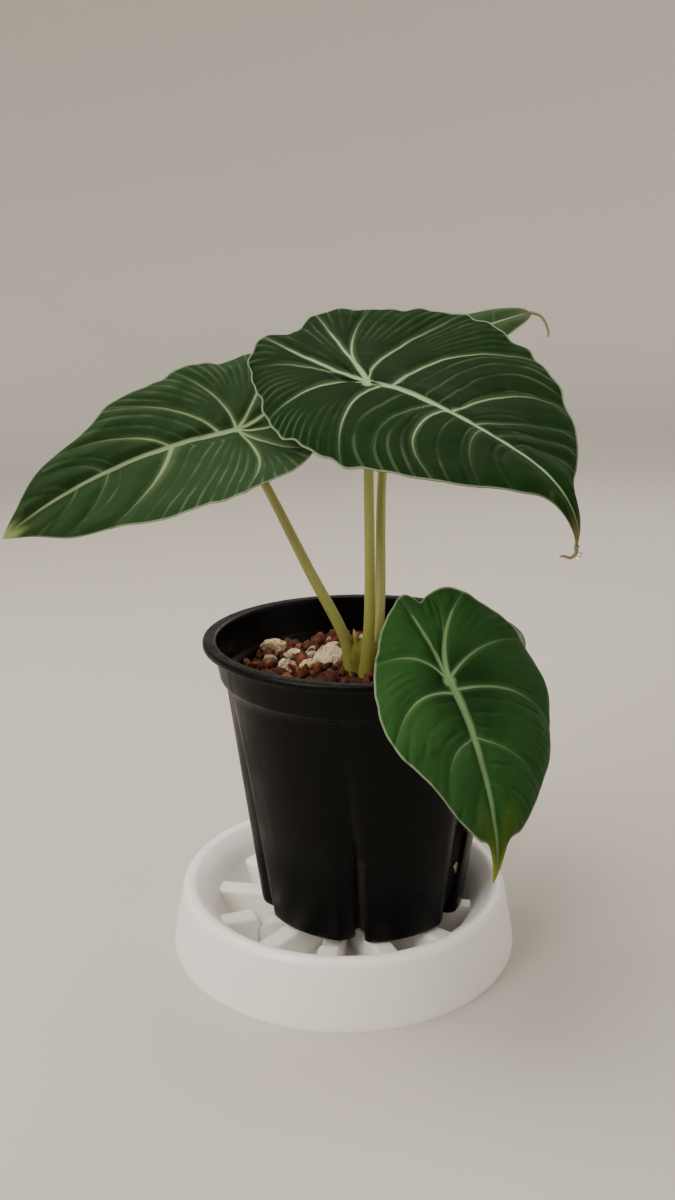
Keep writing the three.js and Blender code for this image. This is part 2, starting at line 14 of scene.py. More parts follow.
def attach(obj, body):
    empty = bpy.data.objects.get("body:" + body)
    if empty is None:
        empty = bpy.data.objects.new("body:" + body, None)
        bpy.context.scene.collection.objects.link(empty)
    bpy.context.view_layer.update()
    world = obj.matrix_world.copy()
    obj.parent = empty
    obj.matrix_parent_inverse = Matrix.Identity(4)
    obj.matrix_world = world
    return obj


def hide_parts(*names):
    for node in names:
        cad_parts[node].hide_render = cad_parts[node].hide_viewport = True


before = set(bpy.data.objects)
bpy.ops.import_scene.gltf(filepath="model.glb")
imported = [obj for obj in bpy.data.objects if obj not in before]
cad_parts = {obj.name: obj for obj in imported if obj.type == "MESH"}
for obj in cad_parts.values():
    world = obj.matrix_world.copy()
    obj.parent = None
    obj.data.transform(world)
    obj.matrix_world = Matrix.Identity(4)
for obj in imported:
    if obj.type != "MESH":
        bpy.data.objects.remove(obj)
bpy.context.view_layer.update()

bl_info = {
    "name": "Potted velvet-leaved alocasia",
    "version": (1, 0, 0),
    "blender": (4, 5, 0),
    "location": "View3D > Sidebar > Alocasia",
    "description": "Builds the leaves, stalks, gravel, pot and saucer of a potted alocasia",
    "category": "Add Mesh",
}

MM = 0.001

# Saucer and its ribs. The profile runs from the foot's inner edge over the hollow rim and
# down to the inside floor: radius, height, and 1 at a hard corner.
SAUCER_FLOOR = 3.0
RIB_TOP, LOW_RIB_TOP, RIB_WIDTH = 14.6, 11.3, 8.0
RIB_ANGLE, RIB_PAIRS, STEP_RADIUS = -8.0, 6, 36.0
SAUCER_PROFILE = [
    (46.9, 0, 1), (47.4, 3, 0), (49, 8.5, 0), (51.7, 14.5, 0), (54.9, 19, 0), (57.6, 21.9, 0),
    (59.5, 22.9, 0), (61, 21.8, 0), (64.9, 0.2, 1), (65.1, 0, 1), (66.4, 0, 1), (66.6, 0.3, 0),
    (66.3, 3, 0), (64.6, 12.5, 0), (62.9, 21.2, 0), (62.3, 23, 0), (61.2, 24.3, 0), (60, 24.6, 0),
    (58.7, 24.5, 0), (57.2, 23.7, 0), (53.2, 20, 0), (50, 15, 0), (47.2, 8.6, 0), (45.3, 4.2, 0),
    (44.3, 3.1, 0), (43.2, 3, 1),
]

# Pot, as in the solids
POT_CENTRE = (7.4, 3.6)
POT_BOTTOM, LEDGE = 14.9, 107.0
BOTTOM_RADIUS, TAPER, WALL, POT_FLOOR = 39.8, 0.133, 1.1, 1.4
POT_SHARP, SAUCER_SHARP = math.radians(55), math.radians(40)
# The pot's plain part, up the outside, over the rolled rim and down inside: height, radius
POT_RIM = [
    (LEDGE - 1.5, 52.1), (LEDGE - 1.35, 52.5), (LEDGE - 1.0, 53.1), (LEDGE - 0.5, 53.55),
    (LEDGE, 53.85), (LEDGE + 0.6, 54.0), (112, 54.8), (117.5, 55.55), (118.15, 55.9), (118.2, 59.2),
    (118.5, 59.75), (119.1, 60), (120.1, 60), (120.65, 59.8), (120.95, 59.3), (121, 58.6),
    (121, 56.3), (120.85, 55.5), (120.4, 55.05), (119.5, 54.9), (114, 54.0), (LEDGE + 0.6, 52.9),
    (LEDGE - 0.4, 52.6),
]
# Its six grooves and slits
GROOVE_ANGLE, GROOVE_TWIST, GROOVE_DEPTH, GROOVE_LEFT, GROOVE_RIGHT = -92.5, -7.0, 5.0, 13.0, 6.0
SLIT_ANGLE, SLIT_WIDTH, SLIT_TOP, SLIT_INNER, SLIT_OUTER = -92.3, 3.5, 50.0, 27.0, 52.0

# Top of the gravel
GRAVEL_LEVEL, HEAP, HEAP_RADIUS, BACK_RISE, LEFT_DIP = 104.3, 1.6, 30.0, 2.4, 1.2

# Pumice stones: place from the pot's axis, half sizes, turn in degrees
PUMICE = [
    ((-35.4, 29.4), (5.2, 4, 3.8), 10), ((-29.5, 6.8), (3.7, 3.1, 2.8), 40),
    ((-27.4, 23.3), (2.4, 2.1, 2), 0), ((-20.6, 6.6), (3.9, 3.1, 2.6), 60),
    ((-12.2, 12.2), (6.2, 5.2, 5), 24), ((-10.9, 27.9), (2.8, 2.3, 2.2), 50),
    ((33, 18), (5.2, 3.9, 3.3), 35), ((16, -34), (4.1, 3.4, 2.9), 160),
    ((-24, -26), (3.8, 2.9, 2.6), 80), ((29, -13), (3.6, 2.8, 2.5), 15),
]

# Crown levels: height, centre x and y, half widths
CROWN = [
    (96, 8.3, 6.7, 5.3, 5), (100, 8.2, 6.6, 5.4, 5.1), (106, 8, 6.5, 5.9, 5.1),
    (111, 7.8, 6.6, 6.5, 4.9), (114.5, 7.8, 6.8, 5.6, 4.2), (117.5, 7.4, 6.8, 3, 2.8),
]
SHEATH = [(5.6, 6.6, 111.5), (5, 6.4, 117), (3.7, 6.4, 122)]
STALK_FOOT = 103.0

# Angles from the tip, in degrees, at which the leaves' radii are given
OUTLINE_ANGLES = [0, 4, 10, 20, 34, 52, 74, 98, 124, 148, 166, 175, 180]

# Leaves. The form from at to twist is that of the solids. hub is where the veins meet,
# over the stalk, bow bends the midrib sideways and ragged is the margin's unevenness.
# foot, knots and stalk are the stalk's course and its radii, tail the dry thread's course
# from the tip, midrib its width at the hub and at the tip. Of the looks, tint is how far
# the green goes towards a colour, and another share is how dark the painted shade round the
# hub is, where the blade dips; fine and pads are how strong the fine veins and the swellings
# between them are, patches says where those swell, and bloom is the velvet's sheen. Each
# half's veins, left then right of the midrib, are (share of the way out where it leaves the
# midrib or the lobe's rib, angle there, angle halfway, angle at the margin, width at its
# foot), with angles counted from the tip and None halfway for an even curve. step is the
# spacing of the mesh's points.
LEAVES = {
    "left": dict(
        at=(-38.7, 8.5, 196), heading=203.7, pitch=7.4, roll=-27.6,
        radii=[92.7, 82.7, 73, 56, 47.5, 39.3, 38.5, 40.2, 47.2, 41, 35, 29, 26.2],
        skew=0.161, droop=3.7, tip_curl=2.7, lobe_droop=-11.1, fold=(1.1, -15.2),
        curl=(-6.8, -0.9), twist=-4, hub=(0, 0), bow=-0.8, ragged=1.2, step=0.8,
        tint=(0.64, "#283f23"), vein_tint="#86976f", tip_tint="#87935f", yellow="#2c4020",
        hollow=0.0, fine=0.18, pads=1.0, patches=(0.35, 0.62, 0.3, 1.0), bloom=0.07,
        foot=(3.8, 6.6), knots=[(-0.2, 6.8, 119.7), (-13.4, 7.5, 145.6), (-28.1, 8, 175.5)],
        stalk=(2.3, 2.1, 1.8, 1.5), tail=[], midrib=(2.3, 0.7),
        veins=(
            [(0.70, 0, None, 6, 0.5), (0.52, 0, None, 10, 0.8), (0.27, 0, 17, 18, 1.3),
             (0.0, 96, 90, 72, 1.4), (0.0, 128, 120, 116, 0.9), (0.0, 170, 165, 162, 1.3)],
            [(0.74, 0, None, 5, 0.5), (0.54, 0, None, 9, 0.8), (0.27, 0, 15, 14, 1.2),
             (0.07, 0, 40, 32, 1.4), (0.0, 84, 82, 68, 1.3), (0.0, 128, 129, 128, 1.5),
             (0.0, 158, 160, 162, 1.4)])),
    "centre": dict(
        at=(8, -7, 218.3), heading=-47.2, pitch=15.5, roll=17.7,
        radii=[107.5, 90.2, 83.4, 74.7, 64.2, 55.4, 47.9, 45.6, 43.1, 47.1, 47.3, 41.4, 40.6],
        skew=0.155, droop=1.1, tip_curl=91.7, lobe_droop=-1.4, fold=(13.9, 1.2),
        curl=(-5.8, 7.9), twist=-1.1, hub=(7, -6), bow=6.3, ragged=2.0, step=0.85,
        tint=(0.7, "#0c2307"), vein_tint="#8ba57c", tip_tint="#7d7049", yellow="#1e3a12",
        hollow=0.2, fine=0.12, pads=1.0, patches=(0.35, 0.62, 0.35, 1.1), bloom=0.012,
        foot=(8.5, 3.6), knots=[(9.6, 1.2, 134.6), (8.7, -7.5, 182.8)],
        stalk=(2.3, 2, 1.8, 1.6), midrib=(2.7, 0.8),
        tail=[(0, 0, -1.6), (-1.6, 0, -3), (-3.4, 0.4, -2.6), (-4.8, 0.8, -2.8)],
        veins=(
            [(0.60, 0, None, 10, 0.6), (0.51, 0, None, 16, 0.7), (0.42, 0, None, 22, 0.9),
             (0.33, 0, 31, 29, 1.4), (0.09, 0, 76, 53, 1.5), (0.0, 126, 121, 97, 1.5),
             (0.27, 160, 152, 141, 1.3), (0.0, 164, 162, 164, 2.0)],
            [(0.60, 0, None, 11, 0.6), (0.46, 0, None, 18, 0.8), (0.31, 0, 29, 28, 1.3),
             (0.27, 0, 44, 43, 0.6), (0.05, 0, 68, 57, 1.3), (0.0, 92, 119, 106, 1.3),
             (0.30, 158, 152, 144, 0.9), (0.0, 128, 166, 166, 2.0)])),
    "front": dict(
        at=(33.3, -60, 125.2), heading=-59.2, pitch=44.6, roll=-8.2,
        radii=[66.1, 54.3, 52, 47.7, 42.6, 39.9, 37.3, 31.1, 28.5, 29.1, 31.4, 29.4, 27.4],
        skew=0.228, droop=4.7, tip_curl=21.5, lobe_droop=-4.9, fold=(-23.8, 7.2),
        curl=(11.4, 6.7), twist=-3.4, hub=(1, -0.5), bow=0.6, ragged=0.7, step=0.62,
        tint=(0.66, "#2b5225"), vein_tint="#6b8c5c", tip_tint="#848a35", yellow="#4a5a16",
        hollow=0.8, fine=0.05, pads=0.8, patches=(0.42, 0.6, 0.2, 3.4), bloom=0.03,
        foot=(13.4, 3.8), knots=[(16.2, -10, 123.5), (23, -33, 130.6)],
        stalk=(2.1, 1.9, 1.7, 1.5), tail=[], midrib=(3.0, 0.9),
        veins=(
            [(0.52, 0, None, 13, 0.6), (0.30, 0, 22, 26, 0.9), (0.05, 0, 65, 58, 1.2),
             (0.0, 148, 124, 108, 1.3), (0.0, 166, 166, 157, 1.7), (0.50, 166, 169, 174, 0.9)],
            [(0.53, 0, None, 13, 0.6), (0.31, 0, 27, 27, 0.9), (0.07, 0, 74, 61, 1.2),
             (0.0, 138, 130, 109, 1.2), (0.0, 168, 172, 163, 1.6)])),
    "back": dict(
        at=(20.2, 46.2, 222.3), heading=10.3, pitch=-12.4, roll=22.4,
        radii=[56.1, 53.5, 46.5, 37, 32.8, 30.1, 28.1, 26.4, 25.6, 25.6, 23.1, 20.6, 19],
        skew=0.01, droop=-1.7, tip_curl=10.7, lobe_droop=2.3, fold=(-1.9, -0.4),
        curl=(3.5, 2.9), twist=1.9, hub=(0, 0), bow=0, ragged=1.2, step=0.85,
        tint=(0.5, "#3a4e32"), vein_tint="#7f9470", tip_tint="#4b4c38", yellow="#3d4a30",
        hollow=0.0, fine=0.1, pads=0.8, patches=(0.35, 0.62, 0.3, 1.0), bloom=0.08,
        foot=(11.6, 9.6), knots=[(13.8, 15, 131.1), (14.8, 30, 177.9)],
        stalk=(2.4, 1.95, 1.7, 1.4), midrib=(1.8, 0.6),
        tail=[(3.4, -0.4, -1), (5.6, -0.8, -3.6), (7, -1, -7.4), (6.8, -1, -9.4)],
        veins=[[(0.5, 0, None, 16, 0.6), (0.28, 0, 30, 29, 0.9), (0.06, 0, 66, 56, 1.0),
                (0.0, 118, 112, 98, 1.0), (0.0, 162, 162, 160, 1.3)]] * 2),
}
BLADE_THICKNESS = 0.8
MARGIN_WAVE, MARGIN_WAVES = 0.55, 9
# Half widths of the grooves over the main veins and the ribs, and of the ribs' lower ridges
VEIN_HALF, RIB_HALF, RIDGE_HALF = 1.1, 1.6, 1.3

# Chips: kinds, half sizes before scaling, random ranges of size and of turn in radians
CHIP_KINDS, CHIP_SHAPE, CHIP_RANGE, CHIP_TURN = 6, (1000, 720, 460), (0.32, 1.0), (6.28, 6.28, 6.28)
# Seeds of the first chip's and the first stone's shape, and the stones' height in the gravel
CHIP_SEED, STONE_SEED, STONE_LIFT = 20, 60, 0.45
# Middle and half widths of the chips' hole round the stalk bases, and their outer radius
HOLE_CENTRE, HOLE_HALF, CHIP_REACH = (0.6, 3.0), (6.6, 6.0), 48.8

# Floor: flat, then curled up by a quarter turn, then upright
FLAT_RADIUS, CURL_RADIUS, FLOOR_TOP, FLOOR_SIDES = 1300, 1200, 1700, 96

# Soft lights, in metres and watts: place, width, power and colour. All face one place.
LIGHTS = {
    "ceiling": ((-0.35, 0.1, 1.2), 0.8, 15.0, "#fff6ea"),
    "window": ((-0.85, -0.75, 0.8), 0.6, 11.0, "#fffaf2"),
    "right": ((1.1, -0.3, 0.6), 0.8, 2.5, "#fff8ef"),
    "behind": ((0.5, 1.0, 0.8), 0.8, 5.0, "#fff8ef"),
}
LIT_PLACE, WORLD_LIGHT = (0, 0, 0.12), 0.62

# Camera, fitted to the outlines in the photo: place in metres, turns in radians, lens in mm
CAMERA_PLACE, CAMERA_TURN = (0.0, -0.38837, 0.23799), (-0.006, 0.259, -0.001)
LENS, SENSOR = 32.744, 36


# Colours and nodes

def linear(hex_colour):
    """Turns an sRGB hex colour into the linear values that Blender takes."""
    parts = [int(hex_colour[i:i + 2], 16) / 255 for i in (1, 3, 5)]
    return tuple(p / 12.92 if p <= 0.04045 else ((p + 0.055) / 1.055) ** 2.4 for p in parts)


def paint(name, note, hex_colour):
    return bpy.props.FloatVectorProperty(
        name=name, description=note, subtype="COLOR", size=3, min=0, max=1,
        default=linear(hex_colour))


def length(name, note, millimetres):
    return bpy.props.FloatProperty(
        name=name, description=note, default=millimetres * MM, min=0, unit="LENGTH", precision=5)


class AlocasiaLeafSettings(bpy.types.PropertyGroup):
    lamina: paint("Leaf green", "Dark velvet green of the blade", "#0d2309")
    # Painted sheen: this greyer green is painted on the swellings between the veins where the velvet
    # catches the light, and it also mottles the blade at random
    lamina_sheen_mottle: paint("Raised green", "Greyer green where the blade swells", "#1e3217")
    vein: paint("Vein", "Pale grey-green of the veins", "#8aa276")
    margin: paint("Margin", "Pale line round the blade", "#93a283")
    underside: paint("Underside", "Paler green below", "#5c6b45")
    edge_brown: paint("Underside edge", "Brown line under the margin", "#4d3a2c")
    dry_tip: paint("Dry tip", "Brown-olive of the drip tips", "#7d7049")
    fine_vein_gap: length("Fine vein spacing", "Distance between the fine veins", 6.0)
    puff: length("Puff", "How far the blade swells between two main veins", 1.35)
    groove: length("Vein groove", "How deep a main vein lies in the blade", 0.34)


class AlocasiaStalkSettings(bpy.types.PropertyGroup):
    stalk: paint("Stalk", "Olive green of the leaf stalks", "#acaf60")
    stalk_dark: paint("Stalk streaks", "Darker streaks along the stalks", "#989b50")
    base: paint("Stalk base", "Yellow-green of the joined stalk bases", "#77742a")
    sheath: paint("Dry sheath", "Pale brown of the dry sheath tip", "#b08f63")


class AlocasiaPotSettings(bpy.types.PropertyGroup):
    pot: paint("Pot", "Black nursery-pot plastic", "#050505")
    dust: paint("Dust", "Thin dust that greys the black", "#100f0d")
    saucer: paint("Saucer", "Warm white of the saucer", "#f6f3ee")
    segments: bpy.props.IntProperty(
        name="Segments", description="Faces round the pot and saucer", default=180, min=48)


class AlocasiaGravelSettings(bpy.types.PropertyGroup):
    lava: paint("Lava", "Red-brown lava chips", "#753f2b")
    lava_dark: paint("Dark lava", "Darker lava chips", "#5a2e20")
    pumice: paint("Pumice", "Cream pumice stones", "#d6c5a2")
    chip_size: length("Chip size", "Length of the larger chips", 6.8)
    chips: bpy.props.IntProperty(name="Chips", description="Chips over the top", default=620, min=1)
    seed: bpy.props.IntProperty(name="Seed", description="Order in which chips fall", default=4)


def settings(name):
    return getattr(bpy.context.scene, name)


def rgba(colour):
    return (*colour, 1.0)


def ink(hex_colour):
    return rgba(linear(hex_colour))


def node(tree, kind, values=None, inputs=None, **options):
    """Adds a node, sets its options and values, and links its inputs."""
    made = tree.nodes.new(kind)
    for key, value in options.items():
        setattr(made, key, value)
    for key, value in (values or {}).items():
        made.inputs[key].default_value = value
    for key, source in (inputs or {}).items():
        tree.links.new(source, made.inputs[key])
    return made


def new_material(name, values):
    """A material with one Principled shader whose constant values are set on it."""
    material = bpy.data.materials.new(name)
    material.use_nodes = True
    shader = material.node_tree.nodes["Principled BSDF"]
    for key, value in values.items():
        shader.inputs[key].default_value = value
    return material, material.node_tree, shader


def feed(tree, socket, value):
    """Sets a socket to a number or colour, or links a node's output to it."""
    if isinstance(value, (int, float, tuple)):
        socket.default_value = value
    else:
        tree.links.new(value, socket)


def math_node(tree, operation, *values, clamp=False):
    made = node(tree, "ShaderNodeMath", operation=operation, use_clamp=clamp)
    for socket, value in zip(made.inputs, values):
        feed(tree, socket, value)
    return made.outputs[0]


def times(tree, a, b):
    return math_node(tree, "MULTIPLY", a, b)


def plus(tree, a, b):
    return math_node(tree, "ADD", a, b)


def minus(tree, a, b):
    return math_node(tree, "SUBTRACT", a, b)


def highest(tree, *values):
    top = values[0]
    for value in values[1:]:
        top = math_node(tree, "MAXIMUM", top, value)
    return top


def ramp(tree, value, low, high, to_low=0.0, to_high=1.0):
    """Maps value smoothly from low..high to to_low..to_high."""
    made = node(tree, "ShaderNodeMapRange", interpolation_type="SMOOTHSTEP")
    for slot, number in zip((1, 2, 3, 4), (low, high, to_low, to_high)):
        made.inputs[slot].default_value = number
    tree.links.new(value, made.inputs[0])
    return made.outputs[0]


def blend(tree, share, first, second):
    """Mixes two colours. Each may be a colour or a node's output."""
    made = node(tree, "ShaderNodeMix", data_type="RGBA")
    for slot, value in ((0, share), (6, first), (7, second)):
        feed(tree, made.inputs[slot], value)
    return made.outputs[2]


def point_value(tree, name):
    made = node(tree, "ShaderNodeAttribute", attribute_type="GEOMETRY", attribute_name=name)
    return made.outputs["Fac"]


def object_place(tree):
    return node(tree, "ShaderNodeTexCoord").outputs["Object"]


def object_height(tree):
    return node(tree, "ShaderNodeSeparateXYZ", None, {0: object_place(tree)}).outputs[2]


def object_noise(tree, scale, detail=3.0, roughness=0.55, stretch=(1, 1, 1)):
    """Noise on Object coordinates; scale is in patches per metre."""
    mapping = node(tree, "ShaderNodeMapping", {"Scale": stretch}, {"Vector": object_place(tree)})
    made = node(tree, "ShaderNodeTexNoise", {
        "Scale": scale, "Detail": detail, "Roughness": roughness}, {"Vector": mapping.outputs[0]})
    return made.outputs["Fac"]


def bump(tree, shader, height, distance, strength=1.0):
    made = node(tree, "ShaderNodeBump", {"Distance": distance, "Strength": strength},
                {"Height": height})
    tree.links.new(made.outputs[0], shader.inputs["Normal"])


# Meshes

def finish_piece(obj, replaced):
    """Puts a finished mesh on the body, in the place of the solid of that name."""
    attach(obj, "root")
    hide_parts(replaced)


def linked(name, data):
    obj = bpy.data.objects.new(name, data)
    bpy.context.scene.collection.objects.link(obj)
    return obj


def smooth_object(name, mesh, material):
    mesh.polygons.foreach_set("use_smooth", [True] * len(mesh.polygons))
    if material:
        mesh.materials.append(material)
    return linked(name, mesh)


def mesh_object(name, points, faces, material):
    """Makes an object from points in millimetres."""
    mesh = bpy.data.meshes.new(name)
    places = [tuple(float(c) * MM for c in p) for p in points]
    mesh.from_pydata(places, [], [tuple(map(int, f)) for f in faces])
    mesh.validate()
    mesh.update()
    return smooth_object(name, mesh, material)


def bmesh_object(name, body, material):
    mesh = bpy.data.meshes.new(name)
    body.to_mesh(mesh)
    body.free()
    return smooth_object(name, mesh, material)


def face_outwards(obj):
    body = bmesh.new()
    body.from_mesh(obj.data)
    bmesh.ops.remove_doubles(body, verts=body.verts, dist=1e-6)
    bmesh.ops.recalc_face_normals(body, faces=body.faces)
    body.to_mesh(obj.data)
    body.free()


def bake_modifiers(obj):
    """Turns an object and its modifiers into a plain mesh."""
    graph = bpy.context.evaluated_depsgraph_get()
    mesh = bpy.data.meshes.new_from_object(
        obj.evaluated_get(graph), preserve_all_data_layers=True, depsgraph=graph)
    obj.modifiers.clear()
    obj.data = mesh


def new_group(name, inputs):
    """A Geometry Nodes group with its Geometry and other inputs, which it returns by name."""
    tree = bpy.data.node_groups.new(name, "GeometryNodeTree")
    tree.interface.new_socket("Geometry", in_out="INPUT", socket_type="NodeSocketGeometry")
    for key, (kind, default) in inputs.items():
        socket = tree.interface.new_socket(key, in_out="INPUT", socket_type=f"NodeSocket{kind}")
        socket.default_value = default
    tree.interface.new_socket("Geometry", in_out="OUTPUT", socket_type="NodeSocketGeometry")
    return tree, {socket.name: socket for socket in node(tree, "NodeGroupInput").outputs}


def end_group(tree, last, material):
    """Ends a group in real instances of one material."""
    real = node(tree, "GeometryNodeRealizeInstances", None, {0: last.outputs[0]})
    done = node(tree, "GeometryNodeSetMaterial", {"Material": material},
                {"Geometry": real.outputs[0]})
    node(tree, "NodeGroupOutput", None, {0: done.outputs[0]})
    return tree


def run_group(obj, tree, values):
    """Runs a group on an object with the named values and keeps the result as its mesh."""
    modifier = obj.modifiers.new(tree.name, "NODES")
    modifier.node_group = tree
    for item in tree.interface.items_tree:
        if item.item_type == "SOCKET" and item.in_out == "INPUT" and item.name in values:
            modifier[item.identifier] = values[item.name]
    bake_modifiers(obj)


def join(objects, name):
    """Joins plain mesh objects into the first one."""
    if len(objects) > 1:
        with bpy.context.temp_override(active_object=objects[0], selected_editable_objects=objects):
            bpy.ops.object.join()
    objects[0].name = name
    objects[0].data.name = name
    return objects[0]


def turns(count):
    """Evenly spaced angles round a full turn."""
    return [2 * math.pi * k / count for k in range(count)]


def ring_faces(rings, per_ring, start=0, flip=False):
    """Quads between rings of equal length that each close on themselves."""
    faces = []
    for i in range(rings - 1):
        for k in range(per_ring):
            a = start + i * per_ring + k
            b = start + i * per_ring + (k + 1) % per_ring
            quad = (a, b, b + per_ring, a + per_ring)
            faces.append(quad[::-1] if flip else quad)
    return faces


def capped_faces(rings, per_ring, flip=False):
    """Faces of a closed loft whose two end points come after its rings."""
    faces = ring_faces(rings, per_ring, flip=flip)
    point, last = rings * per_ring, (rings - 1) * per_ring
    for s in range(per_ring):
        after = (s + 1) % per_ring
        faces += [(point, after, s), (point + 1, last + s, last + after)]
    return faces


def lathe(profile, sides):
    """Points of a profile of radii and heights turned round the upright axis."""
    return [(r * math.cos(t), r * math.sin(t), z) for r, z in profile for t in turns(sides)]


def tube(points, radii, sides):
    """Round tube along points: vertices and faces, with turning frames."""
    points = [Vector(p) for p in points]
    verts = []
    tangent = (points[1] - points[0]).normalized()
    normal = tangent.orthogonal().normalized()
    for i, point in enumerate(points):
        ahead = points[min(i + 1, len(points) - 1)] - points[max(i - 1, 0)]
        turned = tangent.rotation_difference(ahead.normalized())
        normal = (turned @ normal).normalized()
        tangent = ahead.normalized()
        side = tangent.cross(normal)
        verts += [point + (normal * math.cos(t) + side * math.sin(t)) * radii[i]
                  for t in turns(sides)]
    return verts + [points[0], points[-1]], capped_faces(len(points), sides)


def spline_place(p0, p1, p2, p3, t):
    """Place at share t of the way from p1 to p2 on a curve through all four."""
    return 0.5 * (2 * p1 + (p2 - p0) * t + (2 * p0 - 5 * p1 + 4 * p2 - p3) * t * t
                  + (3 * p1 - p0 - 3 * p2 + p3) * t ** 3)


def smooth_path(knots, count):
    """Even points on a curve that passes through the knots."""
    knots = np.array(knots, float)
    ends = np.vstack([2 * knots[0] - knots[1], knots, 2 * knots[-1] - knots[-2]])
    dense = []
    for i in range(len(knots) - 1):
        dense += [spline_place(*ends[i:i + 4], t) for t in np.linspace(0, 1, 24, endpoint=False)]
    dense = np.array(dense + [knots[-1]])
    run = np.concatenate([[0], np.cumsum(np.linalg.norm(np.diff(dense, axis=0), axis=1))])
    where = np.linspace(0, run[-1], count)
    return np.stack([np.interp(where, run, dense[:, k]) for k in range(3)], 1)


# Leaf form: the same rules as in the solids

def margin_radius(leaf, angle):
    a, r = np.array(OUTLINE_ANGLES, float), np.array(leaf["radii"], float)
    slope = np.zeros(len(a))
    slope[0] = (r[1] - r[0]) / (a[1] - a[0])
    slope[1:-1] = (r[2:] - r[:-2]) / (a[2:] - a[:-2])
    angle = np.abs(angle)
    k = np.clip(np.searchsorted(a, angle, side="right") - 1, 0, len(a) - 2)
    step = a[k + 1] - a[k]
    t = (angle - a[k]) / step
    return ((2 * t ** 3 - 3 * t ** 2 + 1) * r[k] + (t ** 3 - 2 * t ** 2 + t) * step * slope[k]
            + (3 * t ** 2 - 2 * t ** 3) * r[k + 1] + (t ** 3 - t ** 2) * step * slope[k + 1])


def bent_line(distance, bend_at):
    """How far a bending line gets along and down."""
    share = (np.arange(24) + 0.5) / 24
    bend = bend_at(distance[..., None] * share)
    step = distance[..., None] / 24
    return (np.cos(bend) * step).sum(-1), (np.sin(bend) * step).sum(-1)


def blade_surface(leaf, forward, side, lift):
    """Places on the blade's middle surface for flat places forward and to the left."""
    heading, pitch, roll = (math.radians(leaf[k]) for k in ("heading", "pitch", "roll"))
    tip = np.array([
        math.cos(heading) * math.cos(pitch), math.sin(heading) * math.cos(pitch), -math.sin(pitch)])
    level = np.array([-math.sin(heading), math.cos(heading), 0.0])
    face = np.cross(tip, level)
    left = level * math.cos(roll) + face * math.sin(roll)
    up = -level * math.sin(roll) + face * math.cos(roll)

    def midrib_bend(a):
        past = np.maximum(0, a / leaf["radii"][0] - 0.6) / 0.4
        ahead = math.radians(leaf["droop"] / 10) * a + math.radians(leaf["tip_curl"]) * past * past
        return np.where(a < 0, math.radians(leaf["lobe_droop"] / 10) * a, ahead)

    half = np.where(side > 0, 0, 1)
    fold = np.radians(np.array(leaf["fold"], float))[half][..., None]
    curl = np.radians(np.array(leaf["curl"], float) / 10)[half][..., None]
    rib_along, rib_down = bent_line(forward, midrib_bend)
    wing_along, wing_down = bent_line(np.abs(side), lambda b: fold + curl * b)
    across, rise = np.sign(side) * wing_along, lift - wing_down
    twist = math.radians(leaf["twist"] / 10) * forward
    wing_side = across * np.cos(twist) - rise * np.sin(twist)
    wing_rise = across * np.sin(twist) + rise * np.cos(twist)
    bend = midrib_bend(forward)
    return (np.array(leaf["at"], float) + tip * (rib_along + wing_rise * np.sin(bend))[..., None]
            + left * wing_side[..., None] + up * (wing_rise * np.cos(bend) - rib_down)[..., None])


def midrib_sway(leaf, share, turn):
    """How far the midrib's bow moves a place sideways: none at the hub and at the margin."""
    sway = 2.2 * share / (share + 0.06) ** 0.4 * np.maximum(1 - share, 0) ** 1.2
    return leaf["bow"] * sway * np.cos(turn / 2) ** 2


def leaf_flat(leaf, share, angle):
    """Flat place of a share of the way from the hub to the margin at an angle."""
    radius = margin_radius(leaf, angle)
    turn = np.radians(angle)
    hub = leaf["hub"]
    forward = hub[0] + share * (radius * np.cos(turn) - hub[0])
    side = hub[1] + share * (radius * np.sin(turn) * np.exp(np.sign(angle) * leaf["skew"]) - hub[1])
    side = side + midrib_sway(leaf, share, turn)
    uneven = 0.005 * np.sin(19 * turn + hub[0]) + 0.004 * np.sin(31 * turn + 1.7 * leaf["skew"])
    from_tip = np.minimum(1, np.abs(angle) / 45)
    from_cleft = np.minimum(1, (180 - np.abs(angle)) / 15)
    grow = 1 + uneven * leaf["ragged"] * share ** 3 * from_tip ** 2 * from_cleft
    return forward * grow, side * grow


def leaf_chart(leaf, forward, side):
    """The share and angle of a flat place: leaf_flat the other way round."""
    hub = leaf["hub"]
    grid = np.linspace(-180, 180, 1441)
    tip = len(grid) // 2
    rim_forward, rim_side = leaf_flat(leaf, np.ones_like(grid), grid)
    bearing = np.unwrap(np.arctan2(rim_side - hub[1], rim_forward - hub[0]))
    bearing += np.arctan2(rim_side[tip] - hub[1], rim_forward[tip] - hub[0]) - bearing[tip]
    reach = np.hypot(rim_forward - hub[0], rim_side - hub[1])
    share, angle = np.zeros_like(forward), np.zeros_like(forward)
    for _ in range(5):
        across = side - hub[1] - midrib_sway(leaf, share, np.radians(angle))
        toward = np.arctan2(across, forward - hub[0])
        angle = np.interp(bearing[0] + (toward - bearing[0]) % (2 * math.pi), bearing, grid)
        share = np.hypot(forward - hub[0], across) / np.interp(angle, grid, reach)
    return share, angle


def leaf_place(leaf, share, angle):
    forward, side = leaf_flat(leaf, share, angle)
    calm = np.minimum(1, np.abs(angle) / 20)
    wave = MARGIN_WAVE * np.cos(MARGIN_WAVES * np.radians(angle)) * share ** 4 * calm
    return blade_surface(leaf, forward, side, wave)


def margin_angles(leaf, spacing):
    """Angles that lie evenly along the margin, with a few more close to the midrib."""
    angle = np.linspace(-180, 180, 7201)
    forward, side = leaf_flat(leaf, np.ones_like(angle), angle)
    run = np.concatenate([[0], np.cumsum(np.hypot(np.diff(forward), np.diff(side)))])
    count = int(run[-1] / spacing)
    even = np.interp(np.linspace(0, run[-1], count, endpoint=False), run, angle)
    return np.unique([*even[np.abs(even) > 0.12], 0.0, -180.0, -0.05, 0.05])


# Veins: one family of curves that runs smoothly from each main vein to the next

